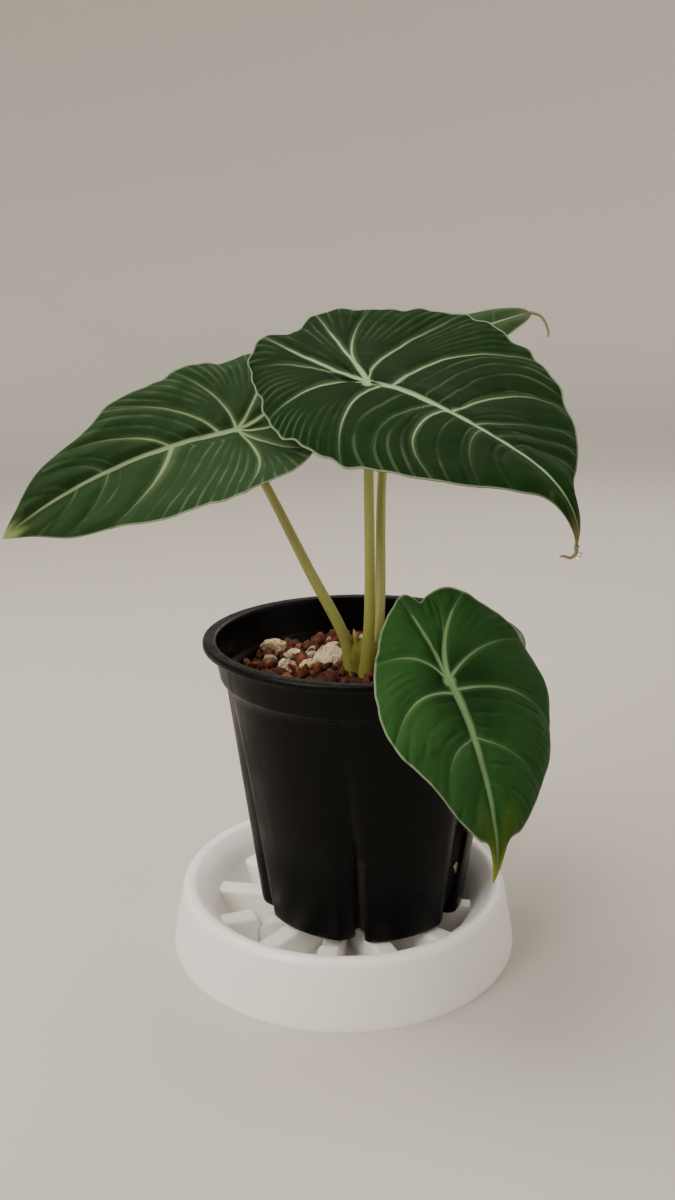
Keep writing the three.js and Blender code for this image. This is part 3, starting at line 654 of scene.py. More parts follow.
def vein_course(leaf, half, row, shares):
    """Angle of a vein at each share of the way out, along a curve through three places."""
    start, foot, middle, end = row[:4]
    sign = 1 if half == 0 else -1
    share = np.array([start, (1 + start) / 2, 1.0])
    forward, side = leaf_flat(leaf, share, sign * np.array([foot, middle, end], float))
    t = np.linspace(0, 1, 41)
    weights = (2 * (t - 0.5) * (t - 1), -4 * t * (t - 1), 2 * t * (t - 0.5))
    f, s = (sum(w * v for w, v in zip(weights, values)) for values in (forward, side))
    along, angle = leaf_chart(leaf, f[1:], s[1:])
    angle = np.abs(angle)
    along = np.maximum.accumulate(along) + np.arange(len(along)) * 1e-7
    if start > 0:
        along, angle = np.insert(along, 0, start), np.insert(angle, 0, foot)
    return np.interp(shares, along, angle)


def even_middle(leaf, half, row):
    """Angle halfway along an even curve that leans away from the tip a little."""
    start, foot, _, end = row[:4]
    sign = 1 if half == 0 else -1
    forward, side = leaf_flat(leaf, np.array([start, 1.0]), sign * np.array([foot, end], float))
    run = np.array([forward[1] - forward[0], side[1] - side[0]])
    lean = 0.09 * sign
    middle = np.array([forward.mean(), side.mean()]) + lean * np.array([-run[1], run[0]])
    return abs(float(leaf_chart(leaf, middle[:1], middle[1:])[1][0]))


def vein_family(leaf, half, shares, fine_gap):
    """For each share: the family's angles, with its fine and main counts and widths."""
    veins = [list(vein) for vein in leaf["veins"][half]]
    for vein in veins:
        if vein[2] is None:
            vein[2] = even_middle(leaf, half, vein)
    # The lobe's rib is the widest of the veins that run back
    rib = max(range(len(veins)), key=lambda k: veins[k][4] if veins[k][3] > 150 else -1)
    reach = float(np.mean(leaf["radii"]))
    rows = [(0.985, 0, 0, 0, 0.3), *veins, (0.0, 180, 180, 180, 0.0)]
    lobe = vein_course(leaf, half, veins[rib], shares)
    table, fine, main, width = [], [], [], []
    count = 0
    for k in range(len(rows) - 1):
        low, high = np.array(rows[k], float), np.array(rows[k + 1], float)
        spread = math.radians(abs(high[3] - low[3])) * reach
        lines = max(1, int(round(spread / fine_gap)))
        for t in np.linspace(0, 1, 8, endpoint=False):
            row = low + (high - low) * t
            course = vein_course(leaf, half, row, shares)
            on_lobe = high[3] > 110 and k + 1 >= rib and low[3] > 80 and (low[0] > 0 or high[0] > 0)
            table.append(np.where(shares < row[0], lobe if on_lobe else 0.0, course))
            fine.append(count + lines * t)
            main.append(k + (t if k < len(rows) - 2 else 0.5 * t))
            width.append(row[4])
        count += lines
    table.append(np.full_like(shares, 180.0))
    fine.append(count)
    main.append(len(rows) - 1.5)
    width.append(0.0)
    angles = np.maximum.accumulate(np.array(table), axis=0)
    return angles, np.array(fine), np.array(main), np.array(width), lobe


def grid_gap(points, field):
    """Distance in mm for one step of a field on a closed grid of points."""
    along = np.gradient(points, axis=0)
    around = (np.roll(points, -1, 1) - np.roll(points, 1, 1)) / 2
    f_along = np.gradient(field, axis=0)
    f_around = (np.roll(field, -1, 1) - np.roll(field, 1, 1)) / 2
    e, f, g = (along ** 2).sum(-1), (along * around).sum(-1), (around ** 2).sum(-1)
    steep = g * f_along ** 2 - 2 * f * f_along * f_around + e * f_around ** 2
    steep = steep / np.maximum(1e-9, e * g - f * f)
    return np.clip(1 / np.sqrt(np.maximum(steep, 1e-4)), 0.05, 30)


def leaf_fields(leaf, shares, angles, points, fine_gap):
    """Vein fields on the grid: fine and main counts, width, their gaps, way to the lobe's rib."""
    fine, main, width, lobe_rib = (np.zeros((len(shares), len(angles))) for _ in range(4))
    per_degree = np.linalg.norm(np.roll(points, -1, 1) - np.roll(points, 1, 1), axis=-1)
    per_degree = per_degree / np.maximum(1e-6, (np.roll(angles, -1) - np.roll(angles, 1)) % 360)
    tops = []
    for half, mask in enumerate((angles >= 0, angles < 0)):
        table, f, m, w, rib = vein_family(leaf, half, shares, fine_gap)
        tops.append((f[-1], m[-1]))
        away = np.abs(angles[mask])
        for i in range(len(shares)):
            course = table[:, i] + np.arange(len(f)) * 1e-6
            for field, values in ((fine, f), (main, m), (width, w)):
                field[i, mask] = np.interp(away, course, values)
        lobe_rib[:, mask] = np.abs(away - rib[:, None]) * per_degree[:, mask]
    # Both halves end on one count, so that no line shows where they meet at the cleft
    fine[:, angles < 0] += tops[0][0] - tops[1][0]
    main[:, angles < 0] += tops[0][1] - tops[1][1]
    gaps = [grid_gap(points, fine), grid_gap(points, main)]
    middle = int(np.argmin(np.abs(angles)))
    for gap in gaps:
        gap[:, middle - 2:middle] = gap[:, middle - 3:middle - 2]
        gap[:, middle:middle + 3] = gap[:, middle + 3:middle + 4]
    return fine, main, width, gaps[0], gaps[1], lobe_rib


def smoothstep(low, high, value):
    t = np.clip((value - low) / (high - low), 0, 1)
    return t * t * (3 - 2 * t)


def blade_mesh(name, leaf, material, options):
    """One blade: a fine upper face, a lower face and a rounded margin between them."""
    angles = margin_angles(leaf, leaf["step"])
    count = int(np.mean(leaf["radii"]) / (leaf["step"] * 1.05))
    shares = np.concatenate([np.linspace(0.012, 0.96, count), [0.972, 0.984, 0.993, 1.0]])
    S, A = np.meshgrid(shares, angles, indexing="ij")
    middle = leaf_place(leaf, S, A)
    around = np.roll(middle, -1, 1) - np.roll(middle, 1, 1)
    along = np.gradient(middle, axis=0)
    up = np.cross(along, around)
    up /= np.maximum(1e-9, np.linalg.norm(up, axis=-1, keepdims=True))
    forward, side = leaf_flat(leaf, S, A)
    fine, main, width, fine_gap, main_gap, lobe_rib = leaf_fields(
        leaf, shares, angles, middle, options.fine_vein_gap / MM)
    radius = np.hypot(forward - leaf["hub"][0], side - leaf["hub"][1])
    edge = (1 - S) * np.maximum(radius / np.maximum(S, 0.02), 1)
    rib_side = radius * np.sin(np.radians(np.clip(np.abs(A), 0, 90)))
    # How far a place is from the midrib or the lobe's rib, in mm
    any_rib = np.minimum(rib_side, lobe_rib * (1.15 + 0.5 * S) + 2.5 * smoothstep(0.72, 1, S))
    off_vein = np.abs(main - np.round(main)) * main_gap
    # The blade swells between its main veins and is drawn in over them
    puffs = np.sin(math.pi * np.clip(np.abs(main - np.floor(main)), 0, 1)) ** 0.7
    puffs *= smoothstep(1.0, 9.0, main_gap) * smoothstep(0, 7, edge) * smoothstep(0, 5, any_rib)
    puffs *= smoothstep(0.03, 0.2, S)
    dent = np.exp(-(off_vein / VEIN_HALF) ** 2) * smoothstep(0.2, 1.2, width) * (1 - 0.55 * S)
    dent = np.maximum(dent, np.exp(-(any_rib / RIB_HALF) ** 2) * (1 - 0.6 * S))
    dent = dent * smoothstep(0.04, 0.14, S)
    ripple = np.zeros_like(S)
    for wave, size in ((0.055, 0.35), (0.12, 0.16)):
        along_wave = np.sin(forward * wave * 6.3 + 1.3)
        ripple += size * along_wave * np.sin(side * wave * 5.1 + leaf["pitch"])
    height = options.puff / MM * puffs - options.groove / MM * dent
    height = height + ripple * smoothstep(0, 6, edge) * 0.5
    thin = 0.5 * BLADE_THICKNESS * (0.35 + 0.65 * smoothstep(0, 3.0, edge))
    upper = middle + up * (thin + height)[..., None]
    # The lower face has every second row of points, and all of the last few
    lower_rows = np.array([*range(0, len(shares) - 5, 2), *range(len(shares) - 5, len(shares))])
    ridge = np.exp(-(any_rib / RIDGE_HALF) ** 2) * (1 - 0.75 * S) * smoothstep(0, 3, edge)
    ridge = 0.5 * dent + 0.8 * ridge
    lower = (middle + up * (height * 0.85 - thin - ridge * 0.7)[..., None])[lower_rows]
    n = len(angles)
    hub_up, hub_low = upper[0].mean(0), lower[0].mean(0)
    points = np.concatenate([upper.reshape(-1, 3), lower.reshape(-1, 3), [hub_up, hub_low]])
    faces = ring_faces(len(shares), n, flip=True)
    start = len(shares) * n
    faces += ring_faces(len(lower_rows), n, start=start)
    top_rim, low_rim = (len(shares) - 1) * n, start + (len(lower_rows) - 1) * n
    hub_a, hub_b = len(points) - 2, len(points) - 1
    for k in range(n):
        j = (k + 1) % n
        faces.append((top_rim + j, top_rim + k, low_rim + k, low_rim + j))
        faces.append((hub_a, k, j))
        faces.append((hub_b, start + j, start + k))
    obj = mesh_object(name, points, faces, material)

    def spread(values):
        low = values[lower_rows]
        return np.concatenate([values.ravel(), low.ravel(), [values[0].mean(), low[0].mean()]])

    # The fine veins wander and stand unevenly
    wander = 0.3 * np.sin(forward * 0.085 + side * 0.06) * smoothstep(0.1, 0.4, S)
    fields = dict(
        vein_fine=fine + wander, vein_main=main, vein_width=width, fine_gap=fine_gap,
        main_gap=main_gap, from_margin=edge, from_midrib=rib_side, from_hub=radius,
        from_rib=any_rib, outward=S, swell=puffs)
    layers = {key: spread(values) for key, values in fields.items()}
    layers["upper_face"] = np.repeat([1.0, 0.0, 1.0, 0.0], [S.size, len(lower_rows) * n, 1, 1])
    for key, values in layers.items():
        layer = obj.data.attributes.new(key, "FLOAT", "POINT")
        layer.data.foreach_set("value", values.astype(np.float32))
    uv = obj.data.uv_layers.new(name="flat")
    flat = np.stack([spread(forward), spread(side)], 1) * MM * 10
    loops = np.zeros(len(obj.data.loops), dtype=np.int64)
    obj.data.loops.foreach_get("vertex_index", loops)
    uv.data.foreach_set("uv", flat[loops].astype(np.float32).ravel())
    return obj


def leaf_material(name, leaf, options):
    """Living leaf: a velvety skin of tiny cone-shaped cells, dark between pale veins.

    The cells scatter light at grazing angles, so the green has a grey bloom towards the
    edges and no gloss; the veins are smooth, paler tissue.
    """
    material, tree, shader = new_material(name, {
        "Specular IOR Level": 0.045, "Sheen Weight": leaf["bloom"], "Sheen Roughness": 0.4,
        "Sheen Tint": ink("#b9c9ae"), "Subsurface Weight": 0.0})

    def field(key):
        return point_value(tree, key)

    def off_line(count, gap):
        shifted = plus(tree, field(count), 0.5)
        part = minus(tree, math_node(tree, "FRACT", shifted), 0.5)
        return times(tree, math_node(tree, "ABSOLUTE", part), field(gap))

    outward = field("outward")
    wide = object_noise(tree, 38, 3)
    small = object_noise(tree, 420, 4)
    green, sheen_mottle_green = rgba(options.lamina), rgba(options.lamina_sheen_mottle)
    lamina = blend(tree, ramp(tree, wide, 0.35, 0.7), green, ink("#15300f"))
    # Painted sheen: the swellings between the main veins are painted greyer where the velvet would
    # catch the light; after that comes random mottling in the same green
    lamina = blend(tree, times(tree, field("swell"), 0.75), lamina, sheen_mottle_green)
    lamina = blend(tree, ramp(tree, small, 0.42, 0.78, 0.0, 0.45), lamina, sheen_mottle_green)
    share, tint = leaf["tint"]
    lamina = blend(tree, share, lamina, ink(tint))
    # Painted shade: round the hub, where the blade dips, the green is painted darker
    lamina = blend(tree, ramp(tree, outward, 0.1, 0.6, leaf["hollow"], 0.0), lamina, green)
    # Fine veins, up to 1.7 mm wide with soft edges, fading where they crowd together
    off_fine = off_line("vein_fine", "fine_gap")
    fine = ramp(tree, off_fine, 0.1, 0.85, 1.0, 0.0)
    fine = times(tree, fine, ramp(tree, field("fine_gap"), 1.5, 3.9, 0.0, leaf["fine"]))
    fine = times(tree, fine, ramp(tree, object_noise(tree, 70, 2), 0.4, 0.62, 0.15, 1.1))
    # Main veins, widest at the foot
    width = times(tree, field("vein_width"), minus(tree, 0.9, times(tree, outward, 0.6)))
    off_main = off_line("vein_main", "main_gap")
    core = math_node(tree, "DIVIDE", off_main, highest(tree, width, 0.15))
    core = ramp(tree, core, 0.12, 0.85, 1.0, 0.0)
    main = highest(tree, core, ramp(tree, off_main, 0.3, 2.0, 0.2, 0.0))
    main = times(tree, main, ramp(tree, width, 0.12, 0.75, 0.0, 0.95))
    main = times(tree, main, ramp(tree, outward, 0.4, 1.0, 1.0, 0.4))
    first, last = leaf["midrib"]
    rib_width = minus(tree, first / 2, times(tree, outward, (first - last) / 2))
    rib = ramp(tree, math_node(tree, "DIVIDE", field("from_rib"), rib_width), 0.4, 1.45, 1.0, 0.0)
    hub = ramp(tree, field("from_hub"), 0.4 * first, 1.0 * first, 1.0, 0.0)
    veins = highest(tree, main, rib, fine, hub)
    pale = blend(tree, 0.8, rgba(options.vein), ink(leaf["vein_tint"]))
    upper = blend(tree, times(tree, veins, 0.9), lamina, pale)
    margin = ramp(tree, field("from_margin"), 0.15, 0.9, 1.0, 0.0)
    upper = blend(tree, times(tree, margin, 0.58), upper, rgba(options.margin))
    # The underside is paler, with a brown line at the margin
    lower = blend(tree, times(tree, veins, 0.5), rgba(options.underside), rgba(options.vein))
    brown = ramp(tree, field("from_margin"), 0.5, 2.0, 1.0, 0.0)
    lower = blend(tree, brown, lower, rgba(options.edge_brown))
    lower = blend(tree, ramp(tree, wide, 0.4, 0.75, 0.0, 0.35), lower, ink("#4c5a3d"))
    colour = blend(tree, field("upper_face"), lower, upper)
    # The last part of the blade yellows and its point dries
    tip = times(tree, ramp(tree, outward, 0.9, 1.0), ramp(tree, field("from_midrib"), 3.5, 1.0))
    yellow = ramp(tree, field("from_midrib"), 12, 2, 0.0, 0.6)
    yellow = times(tree, ramp(tree, outward, 0.72, 0.97), yellow)
    colour = blend(tree, yellow, colour, ink(leaf["yellow"]))
    colour = blend(tree, tip, colour, ink(leaf["tip_tint"]))
    tree.links.new(colour, shader.inputs["Base Color"])
    rough = minus(tree, 0.66, times(tree, veins, 0.18))
    tree.links.new(rough, shader.inputs["Roughness"])
    # In patches the blade swells between its fine veins, and all its skin has a grain
    pads = ramp(tree, field("fine_gap"), 1.6, 4.0, 0.0, leaf["pads"])
    pads = times(tree, pads, ramp(tree, off_fine, 0.0, 1.5))
    pads = times(tree, pads, ramp(tree, field("from_midrib"), 1.5, 4.0))
    pads = times(tree, pads, ramp(tree, object_noise(tree, 62, 2), *leaf["patches"]))
    relief = plus(tree, times(tree, object_noise(tree, 1500, 2), 0.25), pads)
    relief = plus(tree, relief, times(tree, object_noise(tree, 330, 2), 0.8))
    bump(tree, shader, relief, 0.00026, 1.0)
    return material


def dry_material(options):
    """Dried drip tip: thin brown tissue, dull and finely wrinkled along its length."""
    material, tree, shader = new_material("dried_leaf_tip", {
        "Roughness": 0.7, "Specular IOR Level": 0.3})
    tone = blend(tree, object_noise(tree, 600, 3), rgba(options.dry_tip), ink("#8b7d66"))
    tree.links.new(tone, shader.inputs["Base Color"])
    bump(tree, shader, object_noise(tree, 900, 2, stretch=(1, 1, 0.3)), 0.0002)
    return material


def water_material():
    """Clear water: a guttation drop that hangs at the drip tip."""
    material, _, _ = new_material("clear_water", {
        "Base Color": (1, 1, 1, 1), "Roughness": 0.0, "IOR": 1.333, "Transmission Weight": 1.0})
    return material


class ALOCASIA_OT_blades(bpy.types.Operator):
    """Make the four leaf blades with their veins"""
    bl_idname = "alocasia.blades"
    bl_label = "Leaf blades"

    def execute(self, context):
        options = settings("alocasia_leaf")
        dry = dry_material(options)
        for name, leaf in LEAVES.items():
            material = leaf_material(f"velvet_leaf_{name}", leaf, options)
            parts = [blade_mesh(f"leaf_blade_{name}", leaf, material, options)]
            if leaf["tail"]:
                parts.append(self.tail(name, leaf, dry))
            if name == "centre":
                parts.append(self.drop(leaf))
            finish_piece(join(parts, f"leaf_blade_{name}"), f"blade_{name}")
        return {"FINISHED"}

    def tail(self, name, leaf, material):
        """The dry, curled thread at the end of a drip tip."""
        rows = 40
        start, end = leaf_place(leaf, np.array([0.985, 0.995]), np.zeros(2))
        path = smooth_path([start, end] + [end + np.array(step) for step in leaf["tail"]], rows)
        radii = np.interp(
            np.linspace(0, 1, rows), [0, 0.25, 0.6, 0.9, 1], [0.75, 0.62, 0.5, 0.42, 0.2])
        radii = radii * (1 + 0.12 * np.sin(np.arange(rows) * 1.7))
        verts, faces = tube(path, radii, 10)
        return mesh_object(f"tail_{name}", verts, faces, material)

    def drop(self, leaf):
        """A drop of water held between the drip tip and its dry thread."""
        end = leaf_place(leaf, np.array([1.0]), np.zeros(1))[0]
        body = bmesh.new()
        bmesh.ops.create_icosphere(body, subdivisions=4, radius=1)
        for vert in body.verts:
            stretch = 1.25 if vert.co.z > 0 else 1.0
            vert.co = Vector((vert.co.x * 1.05, vert.co.y * 1.05, vert.co.z * 1.15 * stretch))
            vert.co = (vert.co + Vector(end) + Vector((0.9, 0.0, -1.9))) * MM
        return bmesh_object("water_drop", body, water_material())


# Stalks and crown

def stalk_material(options):
    """Living leaf stalk: smooth, slightly waxy skin with fine streaks along its length."""
    material, tree, shader = new_material("leaf_stalk_skin", {
        "Roughness": 0.38, "Specular IOR Level": 0.45, "Coat Weight": 0.08, "Coat Roughness": 0.3})
    streaks = node(tree, "ShaderNodeTexNoise", {"Scale": 60.0, "Detail": 4.0, "Roughness": 0.6}, {
        "Vector": node(tree, "ShaderNodeMapping", {"Scale": (1.0, 0.12, 1.0)}, {
            "Vector": node(tree, "ShaderNodeUVMap", uv_map="along").outputs[0]}).outputs[0]})
    tone = ramp(tree, streaks.outputs["Fac"], 0.35, 0.7)
    tone = blend(tree, tone, rgba(options.stalk), rgba(options.stalk_dark))
    height = object_height(tree)
    tone = blend(tree, ramp(tree, height, 0.135, 0.108, 0.0, 0.8), tone, rgba(options.base))
    specks = ramp(tree, object_noise(tree, 900, 2), 0.68, 0.74, 0.0, 0.5)
    tone = blend(tree, specks, tone, ink("#5b5326"))
    tree.links.new(tone, shader.inputs["Base Color"])
    bump(tree, shader, streaks.outputs["Fac"], 0.00012, 0.7)
    return material


def crown_material(options):
    """Joined stalk bases: yellow-green skin that turns to dry brown scales at the sheath."""
    material, tree, shader = new_material("stalk_base_skin", {
        "Roughness": 0.7, "Specular IOR Level": 0.15})
    height = object_height(tree)
    streak = object_noise(tree, 500, 4, stretch=(1, 1, 0.15))
    tone = blend(tree, ramp(tree, streak, 0.35, 0.7), rgba(options.base), ink("#615e20"))
    dry = math_node(tree, "ADD", ramp(tree, height, 0.1182, 0.1205),
                    ramp(tree, height, 0.1055, 0.1035, 0.0, 0.6), clamp=True)
    tone = blend(tree, dry, tone, rgba(options.sheath))
    tree.links.new(tone, shader.inputs["Base Color"])
    bump(tree, shader, streak, 0.0003, 0.9)
    return material


class ALOCASIA_OT_stalks(bpy.types.Operator):
    """Make the leaf stalks and the joined bases they grow from"""
    bl_idname = "alocasia.stalks"
    bl_label = "Stalks and crown"

    def execute(self, context):
        options = settings("alocasia_stalk")
        skin = stalk_material(options)
        for name, leaf in LEAVES.items():
            finish_piece(self.stalk(name, leaf, skin), f"stalk_{name}")
        finish_piece(self.crown(crown_material(options)), "crown")
        return {"FINISHED"}

    def stalk(self, name, leaf, material):
        """A stalk from the crown to just under its blade's hub, wider at both ends."""
        rows, sides = 90, 28
        around = leaf_place(leaf, np.full(3, 0.05), np.array([0.0, 120.0, -120.0]))
        face = np.cross(around[1] - around[0], around[2] - around[0])
        face /= np.linalg.norm(face)
        hub = leaf_place(leaf, np.array([0.0]), np.array([90.0]))[0]
        toward = hub - np.array(leaf["knots"][-1], float)
        slant = math.sqrt(max(0, 1 - (toward @ face / np.linalg.norm(toward)) ** 2))
        hub = hub - face * (0.5 * BLADE_THICKNESS + 0.3 + leaf["stalk"][3] * slant)
        knots = [(*leaf["foot"], STALK_FOOT)] + list(leaf["knots"]) + [tuple(hub)]
        path = smooth_path(knots, rows)
        t = np.linspace(0, 1, rows)
        radii = np.interp(t, np.linspace(0, 1, 4), leaf["stalk"])
        radii = radii + 0.3 * np.exp(-((0.97 - t) / 0.03) ** 2) + 1.3 * np.exp(-(t / 0.09) ** 2)
        radii *= np.sqrt(np.maximum(0.08, 1 - np.maximum(0, (t - 0.975) / 0.025) ** 2))
        verts, faces = tube(path, radii, sides)
        obj = mesh_object(f"leaf_stalk_{name}", verts, faces, material)
        uv = obj.data.uv_layers.new(name="along")
        for polygon in obj.data.polygons:
            columns = [v % sides for v in polygon.vertices]
            wraps = max(columns) - min(columns) > sides / 2
            for loop, vertex, column in zip(polygon.loop_indices, polygon.vertices, columns):
                if wraps and column < sides / 2:
                    column += sides
                row = min(vertex // sides, rows - 1)
                uv.data[loop].uv = (column / sides, row / (rows - 1) * 10)
        return obj

    def crown(self, material):
        """An oval loft, ribbed where the bases join, with the dry sheath tip on it."""
        levels = np.array(CROWN, float)
        heights = np.linspace(CROWN[0][0], CROWN[-1][0], 40)
        verts, sides = [], 56
        for z in heights:
            x, y, rx, ry = (np.interp(z, levels[:, 0], levels[:, k]) for k in (1, 2, 3, 4))
            for turn in turns(sides):
                rib = 1 + 0.05 * math.cos(5 * turn + 0.4) + 0.02 * math.sin(11 * turn + z * 0.4)
                verts.append((x + rx * rib * math.cos(turn), y + ry * rib * math.sin(turn), z))
        verts += [(8.3, 6.7, 96), (7.4, 6.8, 117.9)]
        body = mesh_object("stalk_bases", verts, capped_faces(len(heights), sides), material)
        rows = 24
        radii = np.interp(np.linspace(0, 1, rows), [0, 0.5, 0.85, 1], [2.1, 1.6, 0.8, 0.15])
        verts, faces = tube(smooth_path(SHEATH, rows), radii, 16)
        sheath = mesh_object("sheath", verts, faces, material)
        return join([body, sheath], "stalk_bases")


# Gravel and pumice

def gravel_height(x, y):
    """Height of the gravel at a place counted from the pot's axis."""
    heap = HEAP * math.exp(-(x * x + y * y) / HEAP_RADIUS ** 2)
    return GRAVEL_LEVEL + heap + BACK_RISE * y / 50 - LEFT_DIP * max(0, -x / 50)


def pits(tree, scale):
    """Distance to the nearest of scattered points; scale is in points per metre."""
    made = node(tree, "ShaderNodeTexVoronoi", {"Scale": scale}, {"Vector": object_place(tree)})
    return made.outputs["Distance"]


def lava_material(options):
    """Crushed lava rock: rough and full of small pores, red-brown with darker chips."""
    material, tree, shader = new_material("crushed_lava", {
        "Roughness": 0.85, "Specular IOR Level": 0.35})
    chip = point_value(tree, "chip_tone")
    tone = blend(tree, ramp(tree, chip, 0.25, 0.8), rgba(options.lava_dark), rgba(options.lava))
    tone = blend(tree, ramp(tree, chip, 0.86, 0.9), tone, ink("#9a5a34"))
    tone = blend(tree, ramp(tree, chip, 0.95, 0.96), tone, ink("#bfae92"))
    stain = ramp(tree, object_noise(tree, 700, 4), 0.4, 0.75, 0.0, 0.6)
    tone = blend(tree, stain, tone, ink("#2a1812"))
    # Painted shade: inside the pot the gravel is painted near-black for the shade it lies in, with a
    # few pale grains
    grains = node(tree, "ShaderNodeTexVoronoi", {"Scale": 230.0}, {"Vector": object_place(tree)})
    grain = node(tree, "ShaderNodeSeparateColor", None, {0: grains.outputs["Color"]}).outputs[0]
    inside_shade = blend(tree, ramp(tree, grain, 0.2, 0.8), ink("#080605"), ink("#1a100c"))
    inside_shade = blend(tree, ramp(tree, grain, 0.9, 0.92), inside_shade, ink("#b8a88c"))
    tone = blend(tree, ramp(tree, object_height(tree), 0.099, 0.095), tone, inside_shade)
    tree.links.new(tone, shader.inputs["Base Color"])
    pores = ramp(tree, pits(tree, 1500.0), 0.1, 0.4)
    bump(tree, shader, plus(tree, pores, object_noise(tree, 1800, 3)), 0.0004)
    return material


def pumice_material(options):
    """Pumice: pale glassy foam, dull, with open pits up to a millimetre across."""
    material, tree, shader = new_material("pumice", {"Roughness": 0.9, "Specular IOR Level": 0.3})
    pit = pits(tree, 900.0)
    tone = ramp(tree, object_noise(tree, 260, 4), 0.35, 0.75)
    tone = blend(tree, tone, rgba(options.pumice), ink("#b99b6d"))
    # Painted shade: the pits are painted darker, for the shade inside them
    tone = blend(tree, ramp(tree, pit, 0.28, 0.08, 0.0, 0.55), tone, ink("#8a6c50"))
    tree.links.new(tone, shader.inputs["Base Color"])
    open_pits = ramp(tree, pit, 0.1, 0.45)
    bump(tree, shader, plus(tree, open_pits, object_noise(tree, 1400, 3)), 0.0004)
    return material


def rock(name, size, turn, seed, levels, material, pitting=0.0, place=(0, 0, 0)):
    """An irregular stone: a sphere cut by a few flat breaks, then roughened."""
    body = bmesh.new()
    bmesh.ops.create_icosphere(body, subdivisions=levels, radius=1)
    rng = np.random.default_rng(seed)
    cuts = [(Vector(rng.normal(size=3)).normalized(), rng.uniform(0.55, 0.85)) for _ in range(9)]
    offset = Vector(rng.uniform(-50, 50, 3))
    spin = Matrix.Rotation(math.radians(turn), 3, "Z")
    for vert in body.verts:
        p = vert.co.copy()
        for direction, reach in cuts:
            over = p.dot(direction) - reach
            if over > 0:
                p -= direction * over * 0.85
        p *= 1 + 0.16 * noise.noise(p * 1.7 + offset) + 0.07 * noise.noise(p * 5 + offset)
        if pitting:
            p *= 1 - pitting * max(0, noise.noise(p * 7 + offset) - 0.15)
        p = spin @ Vector((p.x * size[0], p.y * size[1], p.z * size[2])) * 1.12
        vert.co = (p + Vector(place)) * MM
    return bmesh_object(name, body, material)


def chip_tree(shapes, material):
    """Scatters chips over the gravel's top: random places at an even density, random turn and size.
    """
    tree, by_name = new_group("lava_chips", {
        "Chips per area": ("Float", 80000), "Chip size": ("Float", 0.005), "Seed": ("Int", 1)})
    scatter = node(tree, "GeometryNodeDistributePointsOnFaces", None, {
        "Mesh": by_name["Geometry"], "Density": by_name["Chips per area"], "Seed": by_name["Seed"]},
        distribute_method="RANDOM")
    draw, (low, high) = "FunctionNodeRandomValue", CHIP_RANGE
    turn = node(tree, draw, {1: CHIP_TURN, "Seed": 3}, data_type="FLOAT_VECTOR")
    size = node(tree, draw, {2: low, 3: high, "Seed": 5}, data_type="FLOAT")
    tone = node(tree, draw, {"Seed": 8}, data_type="FLOAT")
    parts = node(tree, "GeometryNodeJoinGeometry")
    for shape in shapes:
        info = node(tree, "GeometryNodeObjectInfo", {"Object": shape})
        as_one = node(tree, "GeometryNodeGeometryToInstance", None, {0: info.outputs["Geometry"]})
        tree.links.new(as_one.outputs[0], parts.inputs[0])
    place = node(tree, "GeometryNodeInstanceOnPoints", {"Pick Instance": True}, {
        "Points": scatter.outputs["Points"], "Instance": parts.outputs[0],
        "Rotation": turn.outputs[0], "Scale": times(tree, size.outputs[1], by_name["Chip size"])})
    named = node(tree, "GeometryNodeStoreNamedAttribute", {"Name": "chip_tone"}, {
        "Geometry": place.outputs[0], "Value": tone.outputs[1]},
        data_type="FLOAT", domain="INSTANCE")
    return end_group(tree, named, material)


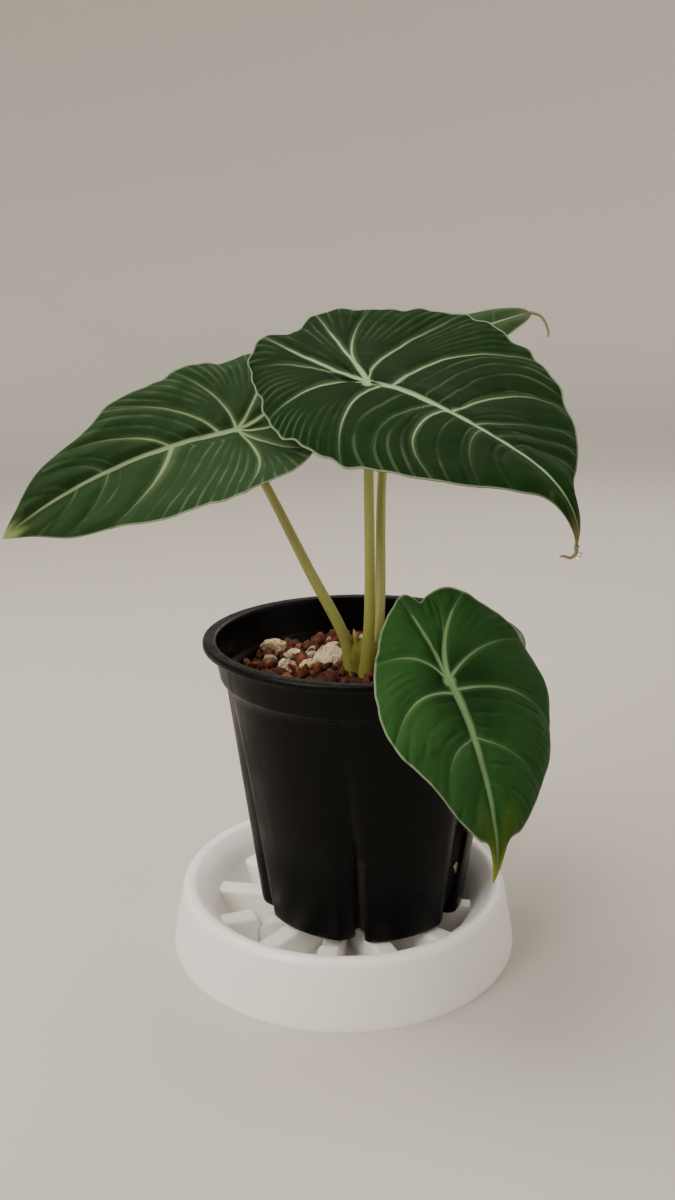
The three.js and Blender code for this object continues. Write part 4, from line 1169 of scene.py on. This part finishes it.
class ALOCASIA_OT_gravel(bpy.types.Operator):
    """Fill the pot with lava chips and lay the pumice stones on them"""
    bl_idname = "alocasia.gravel"
    bl_label = "Gravel and pumice"

    def execute(self, context):
        options = settings("alocasia_gravel")
        lava = lava_material(options)
        fill = self.fill(lava)
        shapes = [rock(f"chip_{k}", CHIP_SHAPE, 0, CHIP_SEED + k, 2, lava) for k in range(CHIP_KINDS)]
        top = self.top(lava)
        area = sum(polygon.area for polygon in top.data.polygons)
        run_group(top, chip_tree(shapes, lava), {
            "Chips per area": options.chips / area, "Chip size": options.chip_size / 2,
            "Seed": options.seed})
        for shape in shapes:
            bpy.data.objects.remove(shape)
        finish_piece(join([fill, top], "lava_gravel"), "gravel")
        stone = pumice_material(options)
        for k, ((x, y), size, turn) in enumerate(PUMICE):
            z = gravel_height(x, y) + size[2] * STONE_LIFT
            place, pitting = (POT_CENTRE[0] + x, POT_CENTRE[1] + y, z), (0.03, 0.1)[k % 2]
            obj = rock(f"pumice_stone_{k + 1}", size, turn, STONE_SEED + k, 5, stone, pitting, place)
            finish_piece(obj, f"pumice_{k + 1}")
        return {"FINISHED"}

    def top(self, material):
        """The sheet that chips are scattered on, with a hole for the stalk bases."""
        verts, rings, sides = [], 14, 64
        for i in range(rings + 1):
            for turn in turns(sides):
                (mid_x, mid_y), (half_x, half_y) = HOLE_CENTRE, HOLE_HALF
                hole = Vector((mid_x + half_x * math.cos(turn), mid_y + half_y * math.sin(turn)))
                rim = Vector((CHIP_REACH * math.cos(turn), CHIP_REACH * math.sin(turn)))
                x, y = hole.lerp(rim, i / rings)
                verts.append((POT_CENTRE[0] + x, POT_CENTRE[1] + y, gravel_height(x, y) + 0.2))
        return mesh_object("gravel_top", verts, ring_faces(rings + 1, sides), material)

    def fill(self, material):
        """The packed gravel behind the slits and under the chips."""
        levels = [(POT_BOTTOM + 2, 3.4), (POT_BOTTOM + 5, 1.6)]
        levels += [(z, 1.5) for z in (30, 50, 70, 90, 103)]
        sides, verts = 120, []
        for z, inward in levels:
            verts += pot_ring(z, body_radius(z), inward, sides)
        for share in (0.97, 0.75, 0.5, 0.25):
            for x, y, _ in pot_ring(102, body_radius(102), 1.6, sides):
                dx, dy = (x - POT_CENTRE[0]) * share, (y - POT_CENTRE[1]) * share
                verts.append((POT_CENTRE[0] + dx, POT_CENTRE[1] + dy, gravel_height(dx, dy) - 1.0))
        verts += [(*POT_CENTRE, POT_BOTTOM + 2), (*POT_CENTRE, gravel_height(0, 0) - 1.0)]
        return mesh_object("gravel_fill", verts, capped_faces(len(levels) + 4, sides), material)


# Pot and saucer

def body_radius(z):
    return BOTTOM_RADIUS + (z - POT_BOTTOM) * TAPER


def pot_ring(z, radius, inward, sides, grooved=True):
    """Points round the pot at height z, drawn in at its six grooves."""
    top = LEDGE - 1.5
    twist = GROOVE_TWIST * (min(z, top) - POT_BOTTOM) / (LEDGE - POT_BOTTOM)
    depth = GROOVE_DEPTH * min(1, max(0, (top - z) / (top - POT_BOTTOM))) if grooved else 0
    ring = []
    for s in range(sides):
        offset = (360 * s / sides) % 60
        offset = offset - 60 if offset > 30 else offset
        angle = math.radians(GROOVE_ANGLE + twist + 360 * s / sides)
        reach = GROOVE_LEFT if offset < 0 else GROOVE_RIGHT
        share = max(0, 1 - abs(offset) / reach)
        r = radius - depth * share * share * (1.6 - 0.6 * share) - inward
        ring.append((POT_CENTRE[0] + r * math.cos(angle), POT_CENTRE[1] + r * math.sin(angle), z))
    return ring


def pot_material(options):
    """Thin moulded polypropylene: black, satin, with flow lines down the wall and dust."""
    material, tree, shader = new_material("black_polypropylene", {
        "Roughness": 0.3, "Specular IOR Level": 0.1, "IOR": 1.49})
    streak = object_noise(tree, 260, 3, stretch=(1, 1, 0.06))
    dust = times(tree, ramp(tree, object_noise(tree, 45, 5), 0.4, 0.8), 0.35)
    tone = blend(tree, dust, rgba(options.pot), rgba(options.dust))
    tree.links.new(tone, shader.inputs["Base Color"])
    rough = ramp(tree, plus(tree, streak, times(tree, dust, 1.2)), 0.3, 0.9, 0.25, 0.46)
    tree.links.new(rough, shader.inputs["Roughness"])
    grain = times(tree, object_noise(tree, 2600, 2), 0.3)
    bump(tree, shader, plus(tree, streak, grain), 0.00012, 0.8)
    return material


def saucer_material(options):
    """Moulded ABS: warm white with a soft satin gloss and faint marks from use."""
    material, tree, shader = new_material("white_abs", {
        "Roughness": 0.32, "Specular IOR Level": 0.5, "IOR": 1.53, "Subsurface Weight": 0.06,
        "Subsurface Radius": (0.004, 0.003, 0.002), "Subsurface Scale": 0.5})
    marks = ramp(tree, object_noise(tree, 60, 3), 0.45, 0.8, 0.0, 0.25)
    tone = blend(tree, marks, rgba(options.saucer), ink("#ebe6dc"))
    tree.links.new(tone, shader.inputs["Base Color"])
    rough = ramp(tree, object_noise(tree, 90, 4), 0.3, 0.75, 0.27, 0.42)
    tree.links.new(rough, shader.inputs["Roughness"])
    bump(tree, shader, object_noise(tree, 1200, 2), 0.00006, 0.6)
    return material


def rib_tree(long_rib, low_rib, material):
    """Twelve ribs round the saucer's middle, every second one stepped."""
    tree, by_name = new_group("saucer_ribs", {
        "Ribs": ("Int", RIB_PAIRS), "First angle": ("Float", 0)})
    points = node(tree, "GeometryNodePoints", None, {"Count": by_name["Ribs"]})
    index = node(tree, "GeometryNodeInputIndex")
    step = math_node(tree, "DIVIDE", 2 * math.pi, by_name["Ribs"])
    sets = [by_name["Geometry"]]
    for shape, half in ((long_rib, 0.0), (low_rib, 0.5)):
        turn = times(tree, plus(tree, index.outputs[0], half), step)
        turn = plus(tree, turn, by_name["First angle"])
        spin = node(tree, "ShaderNodeCombineXYZ", None, {2: turn})
        info = node(tree, "GeometryNodeObjectInfo", {"Object": shape})
        placed = node(tree, "GeometryNodeInstanceOnPoints", None, {
            "Points": points.outputs[0], "Instance": info.outputs["Geometry"],
            "Rotation": spin.outputs[0]})
        sets.append(placed.outputs[0])
    joined = node(tree, "GeometryNodeJoinGeometry")
    for part in sets:
        tree.links.new(part, joined.inputs[0])
    return end_group(tree, joined, material)


class ALOCASIA_OT_pot(bpy.types.Operator):
    """Make the slit pot"""
    bl_idname = "alocasia.pot"
    bl_label = "Pot"

    def execute(self, context):
        options = settings("alocasia_pot")
        sides = options.segments * 2
        # Each row is a height, a radius and how far inside it the wall lies
        foot = body_radius(POT_BOTTOM)
        outside = [(POT_BOTTOM, foot, 1.8), (POT_BOTTOM + 0.15, foot, 0.9)]
        outside.append((POT_BOTTOM + 0.6, foot, 0.25))
        heights = (POT_BOTTOM + 1.4, *np.linspace(18, LEDGE - 1.8, 30))
        outside += [(z, body_radius(z), 0) for z in heights]
        inside = [(z, body_radius(z), WALL) for z in np.linspace(LEDGE - 1.5, POT_BOTTOM + 3, 20)]
        inside += [(POT_BOTTOM + POT_FLOOR, foot, WALL + 1.5)]
        rings = [pot_ring(*row, sides) for row in outside]
        rings += [pot_ring(z, radius, 0, sides, grooved=False) for z, radius in POT_RIM]
        rings += [pot_ring(*row, sides) for row in inside]
        verts = [p for ring in rings for p in ring]
        verts += [(*POT_CENTRE, POT_BOTTOM), (*POT_CENTRE, POT_BOTTOM + POT_FLOOR)]
        material = pot_material(options)
        pot = mesh_object("slit_pot", verts, capped_faces(len(rings), sides), material)
        cutters = [self.slit_cutter(SLIT_ANGLE + 60 * k) for k in range(6)]
        tool = join(cutters, "slits")
        cut = pot.modifiers.new("slits", "BOOLEAN")
        cut.operation, cut.solver, cut.object = "DIFFERENCE", "EXACT", tool
        bake_modifiers(pot)
        bpy.data.objects.remove(tool)
        # One material for the wall and for the faces of the cut
        pot.data.materials.clear()
        pot.data.materials.append(material)
        pot.data.polygons.foreach_set("material_index", [0] * len(pot.data.polygons))
        pot.data.set_sharp_from_angle(angle=POT_SHARP)
        finish_piece(pot, "pot")
        return {"FINISHED"}

    def slit_cutter(self, angle):
        """A round-topped slot through wall and floor."""
        half = SLIT_WIDTH / 2
        outline = [(-half, POT_BOTTOM - 2), (half, POT_BOTTOM - 2)]
        outline += [(half * math.cos(t), SLIT_TOP + half * math.sin(t))
                    for t in np.linspace(0, math.pi, 13)]
        turn = Matrix.Rotation(math.radians(angle), 3, "Z")
        verts = []
        for out in (SLIT_INNER, SLIT_OUTER):
            for across, z in outline:
                p = turn @ Vector((out, across, z))
                verts.append((p.x + POT_CENTRE[0], p.y + POT_CENTRE[1], p.z))
        n = len(outline)
        faces = [tuple(range(n))[::-1], tuple(range(n, 2 * n))]
        faces += [(k, (k + 1) % n, n + (k + 1) % n, n + k) for k in range(n)]
        obj = mesh_object("slit", verts, faces, None)
        face_outwards(obj)
        return obj


class ALOCASIA_OT_saucer(bpy.types.Operator):
    """Make the ribbed saucer"""
    bl_idname = "alocasia.saucer"
    bl_label = "Saucer"

    def execute(self, context):
        options = settings("alocasia_pot")
        sides = options.segments
        profile = smooth_profile(SAUCER_PROFILE)
        verts = lathe(profile, sides) + [(0, 0, 0), (0, 0, SAUCER_FLOOR)]
        faces = capped_faces(len(profile), sides, flip=True)
        material = saucer_material(options)
        saucer = mesh_object("ribbed_saucer", verts, faces, material)
        face_outwards(saucer)
        ribs = [self.rib("long_rib", [(0.0, RIB_TOP)], material),
                self.rib("stepped_rib", [(0.0, LOW_RIB_TOP), (STEP_RADIUS, RIB_TOP)], material)]
        run_group(saucer, rib_tree(*ribs, material), {
            "Ribs": RIB_PAIRS, "First angle": math.radians(RIB_ANGLE)})
        for shape in ribs:
            bpy.data.objects.remove(shape)
        saucer.data.set_sharp_from_angle(angle=SAUCER_SHARP)
        finish_piece(saucer, "saucer")
        return {"FINISHED"}

    def rib(self, name, steps, material):
        """A bar with rounded top edges along +X, its outer end following the wall."""
        section = []
        half, soft, step_soft = RIB_WIDTH / 2, 1.6, 1.4
        for t in np.linspace(0, math.pi / 2, 6):
            section.append((half - soft + soft * math.cos(t), soft * math.sin(t) - soft))
        section = section + [(-y, z) for y, z in reversed(section)]
        objs = []
        for k, (start, top) in enumerate(steps):
            last = k == len(steps) - 1
            stop = None if last else steps[k + 1][0] + 1
            verts, faces = [], []
            outline = [(half, SAUCER_FLOOR - 1 - top)] + section + [(-half, SAUCER_FLOOR - 1 - top)]
            # A step's inner end is rounded; the first bar starts at the saucer's middle
            columns = [(start + step_soft * (1 - math.cos(t)), step_soft * (1 - math.sin(t)))
                       for t in np.linspace(0, math.pi / 2, 5)] if k else [(start, 0.0)]
            columns += [(None, 0.0)]
            for x, drop in columns:
                for y, z in outline:
                    height = top + z - (drop if z > -4 else 0)
                    wall = 0.8 + np.interp(height, [3, 8.6, 15], [45.2, 47.6, 50.4])
                    verts.append(((stop or wall) if x is None else x, y, height))
            n = len(outline)
            for i in range(len(columns) - 1):
                faces += [(i * n + j, (i + 1) * n + j, (i + 1) * n + j + 1, i * n + j + 1)
                          for j in range(n - 1)]
            faces += [tuple(range(n)), tuple(range((len(columns) - 1) * n, len(columns) * n))]
            obj = mesh_object(f"{name}_{k}", verts, faces, material)
            face_outwards(obj)
            objs.append(obj)
        return join(objs, name)


def smooth_profile(corners, steps=3):
    """Rounds a profile between its marked hard corners."""
    points = np.array(corners, float)[:, :2]
    hard = [corner[2] for corner in corners]
    out = []
    for i in range(len(points) - 1):
        p1, p2 = points[i], points[i + 1]
        p0 = points[i - 1] if i > 0 and not hard[i] else 2 * p1 - p2
        p3 = points[i + 2] if i + 2 < len(points) and not hard[i + 1] else 2 * p2 - p1
        out += [spline_place(p0, p1, p2, p3, t) for t in np.linspace(0, 1, steps, endpoint=False)]
    out.append(points[-1])
    return [(max(0.0, r), max(0.0, z)) for r, z in out]


# Stage

class ALOCASIA_OT_stage(bpy.types.Operator):
    """Set the floor, the soft lights and the camera"""
    bl_idname = "alocasia.stage"
    bl_label = "Stage"

    def execute(self, context):
        # Matt paper, paler where it curls up, because less light reaches it there
        material, tree, shader = new_material("pale_paper", {"Roughness": 0.9})
        away = node(tree, "ShaderNodeVectorMath", None, {0: object_place(tree)}, operation="LENGTH")
        tone = ramp(tree, away.outputs["Value"], 1.1, 2.2)
        tone = blend(tree, tone, ink("#bdb8b0"), ink("#efeae2"))
        tree.links.new(tone, shader.inputs["Base Color"])
        # The floor is flat round the plant and curls up far away on every side
        run = [(400, 0), (FLAT_RADIUS, 0)]
        run += [(FLAT_RADIUS + CURL_RADIUS * math.sin(t), CURL_RADIUS * (1 - math.cos(t)))
                for t in np.linspace(0.08, math.pi / 2, 24)]
        run.append((FLAT_RADIUS + CURL_RADIUS, FLOOR_TOP))
        faces = ring_faces(len(run), FLOOR_SIDES, flip=True) + [tuple(range(FLOOR_SIDES))]
        floor = mesh_object("floor", lathe(run, FLOOR_SIDES), faces, material)
        world = bpy.data.worlds.new("soft_room")
        world.use_nodes = True
        world.node_tree.nodes["Background"].inputs[0].default_value = ink("#d9d5cf")
        world.node_tree.nodes["Background"].inputs[1].default_value = WORLD_LIGHT
        context.scene.world = world
        for name, row in LIGHTS.items():
            self.light(name, *row)
        camera = bpy.data.cameras.new("camera")
        camera.lens, camera.sensor_width = LENS, SENSOR
        obj = linked("camera", camera)
        yaw, pitch, roll = CAMERA_TURN
        level = math.cos(pitch)
        ahead = Vector((math.sin(yaw) * level, math.cos(yaw) * level, -math.sin(pitch)))
        right = Vector((math.cos(yaw), -math.sin(yaw), 0))
        up = right.cross(ahead)
        turned_right = right * math.cos(roll) + up * math.sin(roll)
        turned_up = up * math.cos(roll) - right * math.sin(roll)
        axes = Matrix((turned_right, turned_up, -ahead)).transposed()
        obj.matrix_world = Matrix.Translation(CAMERA_PLACE) @ axes.to_4x4()
        context.scene.camera = obj
        return {"FINISHED"}

    def light(self, name, place, size, power, colour):
        lamp = bpy.data.lights.new(name, "AREA")
        lamp.size, lamp.energy, lamp.color = size, power, linear(colour)
        obj = linked(name, lamp)
        obj.location = place
        obj.rotation_euler = (Vector(LIT_PLACE) - Vector(place)).to_track_quat("-Z", "Y").to_euler()


class ALOCASIA_PT_panel(bpy.types.Panel):
    """Steps that build the potted alocasia"""
    bl_label = "Potted alocasia"
    bl_idname = "ALOCASIA_PT_panel"
    bl_space_type = "VIEW_3D"
    bl_region_type = "UI"
    bl_category = "Alocasia"

    def draw(self, context):
        for name in OPERATORS:
            self.layout.operator(f"alocasia.{name}")
        for group in GROUPS:
            box = self.layout.box()
            values = settings(group)
            for key in values.__annotations__:
                box.prop(values, key)


OPERATORS = ["stage", "saucer", "pot", "gravel", "stalks", "blades"]
GROUPS = {"alocasia_leaf": AlocasiaLeafSettings, "alocasia_stalk": AlocasiaStalkSettings,
          "alocasia_pot": AlocasiaPotSettings, "alocasia_gravel": AlocasiaGravelSettings}
CLASSES = [*GROUPS.values(), ALOCASIA_OT_stage, ALOCASIA_OT_saucer, ALOCASIA_OT_pot,
           ALOCASIA_OT_gravel, ALOCASIA_OT_stalks, ALOCASIA_OT_blades, ALOCASIA_PT_panel]


def register():
    for item in CLASSES:
        bpy.utils.register_class(item)
    for name, group in GROUPS.items():
        setattr(bpy.types.Scene, name, bpy.props.PointerProperty(type=group))


def unregister():
    for name in GROUPS:
        delattr(bpy.types.Scene, name)
    for item in reversed(CLASSES):
        bpy.utils.unregister_class(item)


def main():
    register()
    for name in OPERATORS:
        getattr(bpy.ops.alocasia, name)()
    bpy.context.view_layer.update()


if __name__ == "__main__":
    main()
